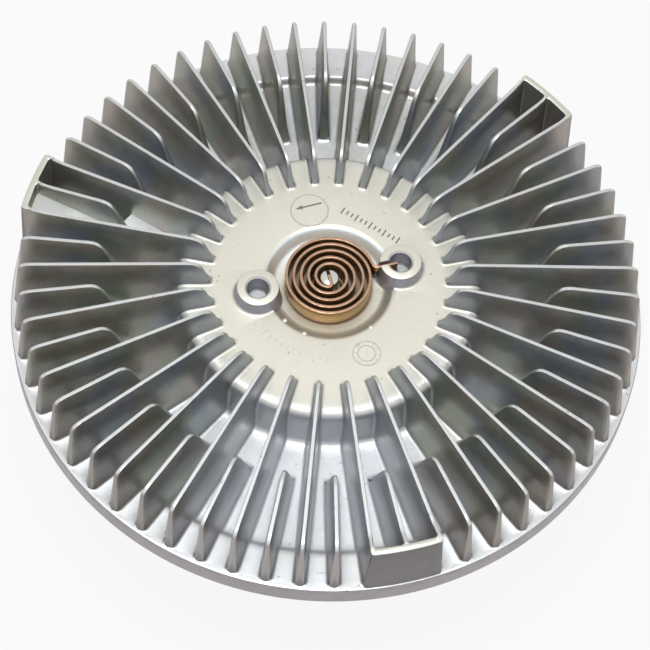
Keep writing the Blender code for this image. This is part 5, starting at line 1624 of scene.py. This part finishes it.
def studio_floor(colour):
    """White floor that keeps a shadow, and is clear from below."""
    material = bpy.data.materials.new("studio_floor")
    material.use_nodes = True
    material.node_tree.nodes.clear()
    nodes = Nodes(material.node_tree)
    matte = nodes.add("BsdfDiffuse", {"Color": rgba(colour)}).outputs[0]
    glow = nodes.add("Emission", {"Color": rgba(colour)}).outputs[0]
    share = nodes.math("MULTIPLY", seen_directly(nodes), 0.9)
    top = nodes.add("MixShader", {0: share, 1: matte, 2: glow}).outputs[0]
    under = nodes.add("NewGeometry").outputs["Backfacing"]
    clear = nodes.add("BsdfTransparent").outputs[0]
    both = nodes.add("MixShader", {0: under, 1: top, 2: clear}).outputs[0]
    nodes.add("OutputMaterial", {"Surface": both})
    return material


def seen_directly(nodes):
    """Output that is 1 for camera, glossy and transmission rays."""
    path = nodes.add("LightPath").outputs
    seen = nodes.math("MAXIMUM", path["Is Camera Ray"], path["Is Glossy Ray"])
    return nodes.math("MAXIMUM", seen, path["Is Transmission Ray"])


def camera():
    """Camera at the photograph's viewing angle."""
    elevation = math.radians(60)
    azimuth = math.radians(-0.35)
    roll = math.radians(4.9)
    level = Vector((-math.sin(azimuth), math.cos(azimuth), 0))
    forward = level * math.cos(elevation) - Vector((0, 0, math.sin(elevation)))
    right = level.cross(Vector((0, 0, 1)))
    up = right.cross(forward)
    cam_right = right * math.cos(roll) + up * math.sin(roll)
    cam_up = -right * math.sin(roll) + up * math.cos(roll)
    data = bpy.data.cameras.new("camera")
    data.lens = 120.46
    data.sensor_width = 36
    data.clip_start = 0.05
    data.clip_end = 50
    holder = bpy.data.objects.new("camera", data)
    axes = Matrix((cam_right, cam_up, -forward)).transposed()
    aim = Vector((-0.12 * MM, 0, 53.7 * MM))
    holder.matrix_world = Matrix.Translation(aim - forward * 0.804) @ axes.to_4x4()
    bpy.context.scene.collection.objects.link(holder)
    bpy.context.scene.camera = holder


# Operators


class FANCLUTCH_OT_front_cover(Operator):
    """Model the finned front cover"""

    bl_idname = "fan_clutch.front_cover"
    bl_label = "Front cover"

    def execute(self, context):
        settings = context.scene.fan_clutch_cover
        front_cover(settings, context.scene.fan_clutch_coil.strip)
        return {"FINISHED"}


class FANCLUTCH_OT_coil(Operator):
    """Model the bimetal coil, the valve spindle and its bushing"""

    bl_idname = "fan_clutch.coil"
    bl_label = "Coil and valve"

    def execute(self, context):
        settings = context.scene.fan_clutch_coil
        bimetal_coil(settings)
        valve_spindle(settings.strip)
        bushing()
        return {"FINISHED"}


class FANCLUTCH_OT_rear_body(Operator):
    """Model the rear body and the fan studs"""

    bl_idname = "fan_clutch.rear_body"
    bl_label = "Rear body"

    def execute(self, context):
        rear_body(context.scene.fan_clutch_body.ribs)
        for index in range(1, len(FAN_PAD_ANGLES) + 1):
            fan_stud(index)
        return {"FINISHED"}


class FANCLUTCH_OT_drive(Operator):
    """Model the drive hub and the bearing's visible pieces"""

    bl_idname = "fan_clutch.drive"
    bl_label = "Drive hub and bearing"

    def execute(self, context):
        drive_hub()
        bearing_faces()
        circlip()
        return {"FINISHED"}


class FANCLUTCH_OT_inner_finishes(Operator):
    """Give every piece of the frame, such as those inside the housing, its finish"""

    bl_idname = "fan_clutch.inner_finishes"
    bl_label = "Inner finishes"

    def execute(self, context):
        for part in frame["record"]["subparts"]:
            mesh = frame["nodes"][part["node"]].data
            mesh.materials.clear()
            mesh.materials.append(slot_finish(part["material_slot"]))
        return {"FINISHED"}


class FANCLUTCH_OT_studio(Operator):
    """Set up the white studio and the camera"""

    bl_idname = "fan_clutch.studio"
    bl_label = "Studio"

    def execute(self, context):
        studio(context.scene.fan_clutch_studio)
        camera()
        return {"FINISHED"}


OPERATORS = (
    FANCLUTCH_OT_front_cover,
    FANCLUTCH_OT_coil,
    FANCLUTCH_OT_rear_body,
    FANCLUTCH_OT_drive,
    FANCLUTCH_OT_inner_finishes,
    FANCLUTCH_OT_studio,
)


class FANCLUTCH_PT_pieces(Panel):
    """Lists the clutch's pieces and their settings"""

    bl_label = "Fan clutch"
    bl_space_type = "VIEW_3D"
    bl_region_type = "UI"
    bl_category = "Fan Clutch"

    def draw(self, context):
        for operator in OPERATORS:
            self.layout.operator(operator.bl_idname)
        for name, group in SETTINGS.items():
            for setting in group.__annotations__:
                self.layout.prop(getattr(context.scene, name), setting)


SETTINGS = {
    "fan_clutch_cover": CoverSettings,
    "fan_clutch_coil": CoilSettings,
    "fan_clutch_body": BodySettings,
    "fan_clutch_studio": StudioSettings,
}


def register():
    """Add the settings, the operators and the panel."""
    for group in SETTINGS.values():
        bpy.utils.register_class(group)
    for name, group in SETTINGS.items():
        setattr(bpy.types.Scene, name, PointerProperty(type=group))
    for made in OPERATORS + (FANCLUTCH_PT_pieces,):
        bpy.utils.register_class(made)


def unregister():
    """Take the panel, the operators and the settings away again."""
    for made in (FANCLUTCH_PT_pieces,) + OPERATORS[::-1]:
        bpy.utils.unregister_class(made)
    for name, group in SETTINGS.items():
        delattr(bpy.types.Scene, name)
        bpy.utils.unregister_class(group)


def main():
    """Build everything round the frame."""
    register()
    for leftover in ("Cube", "Light", "Camera"):
        if leftover in bpy.data.objects:
            bpy.data.objects.remove(bpy.data.objects[leftover])
    bpy.ops.fan_clutch.front_cover()
    bpy.ops.fan_clutch.coil()
    bpy.ops.fan_clutch.rear_body()
    bpy.ops.fan_clutch.drive()
    bpy.ops.fan_clutch.inner_finishes()
    bpy.ops.fan_clutch.studio()


if __name__ == "__main__":
    main()
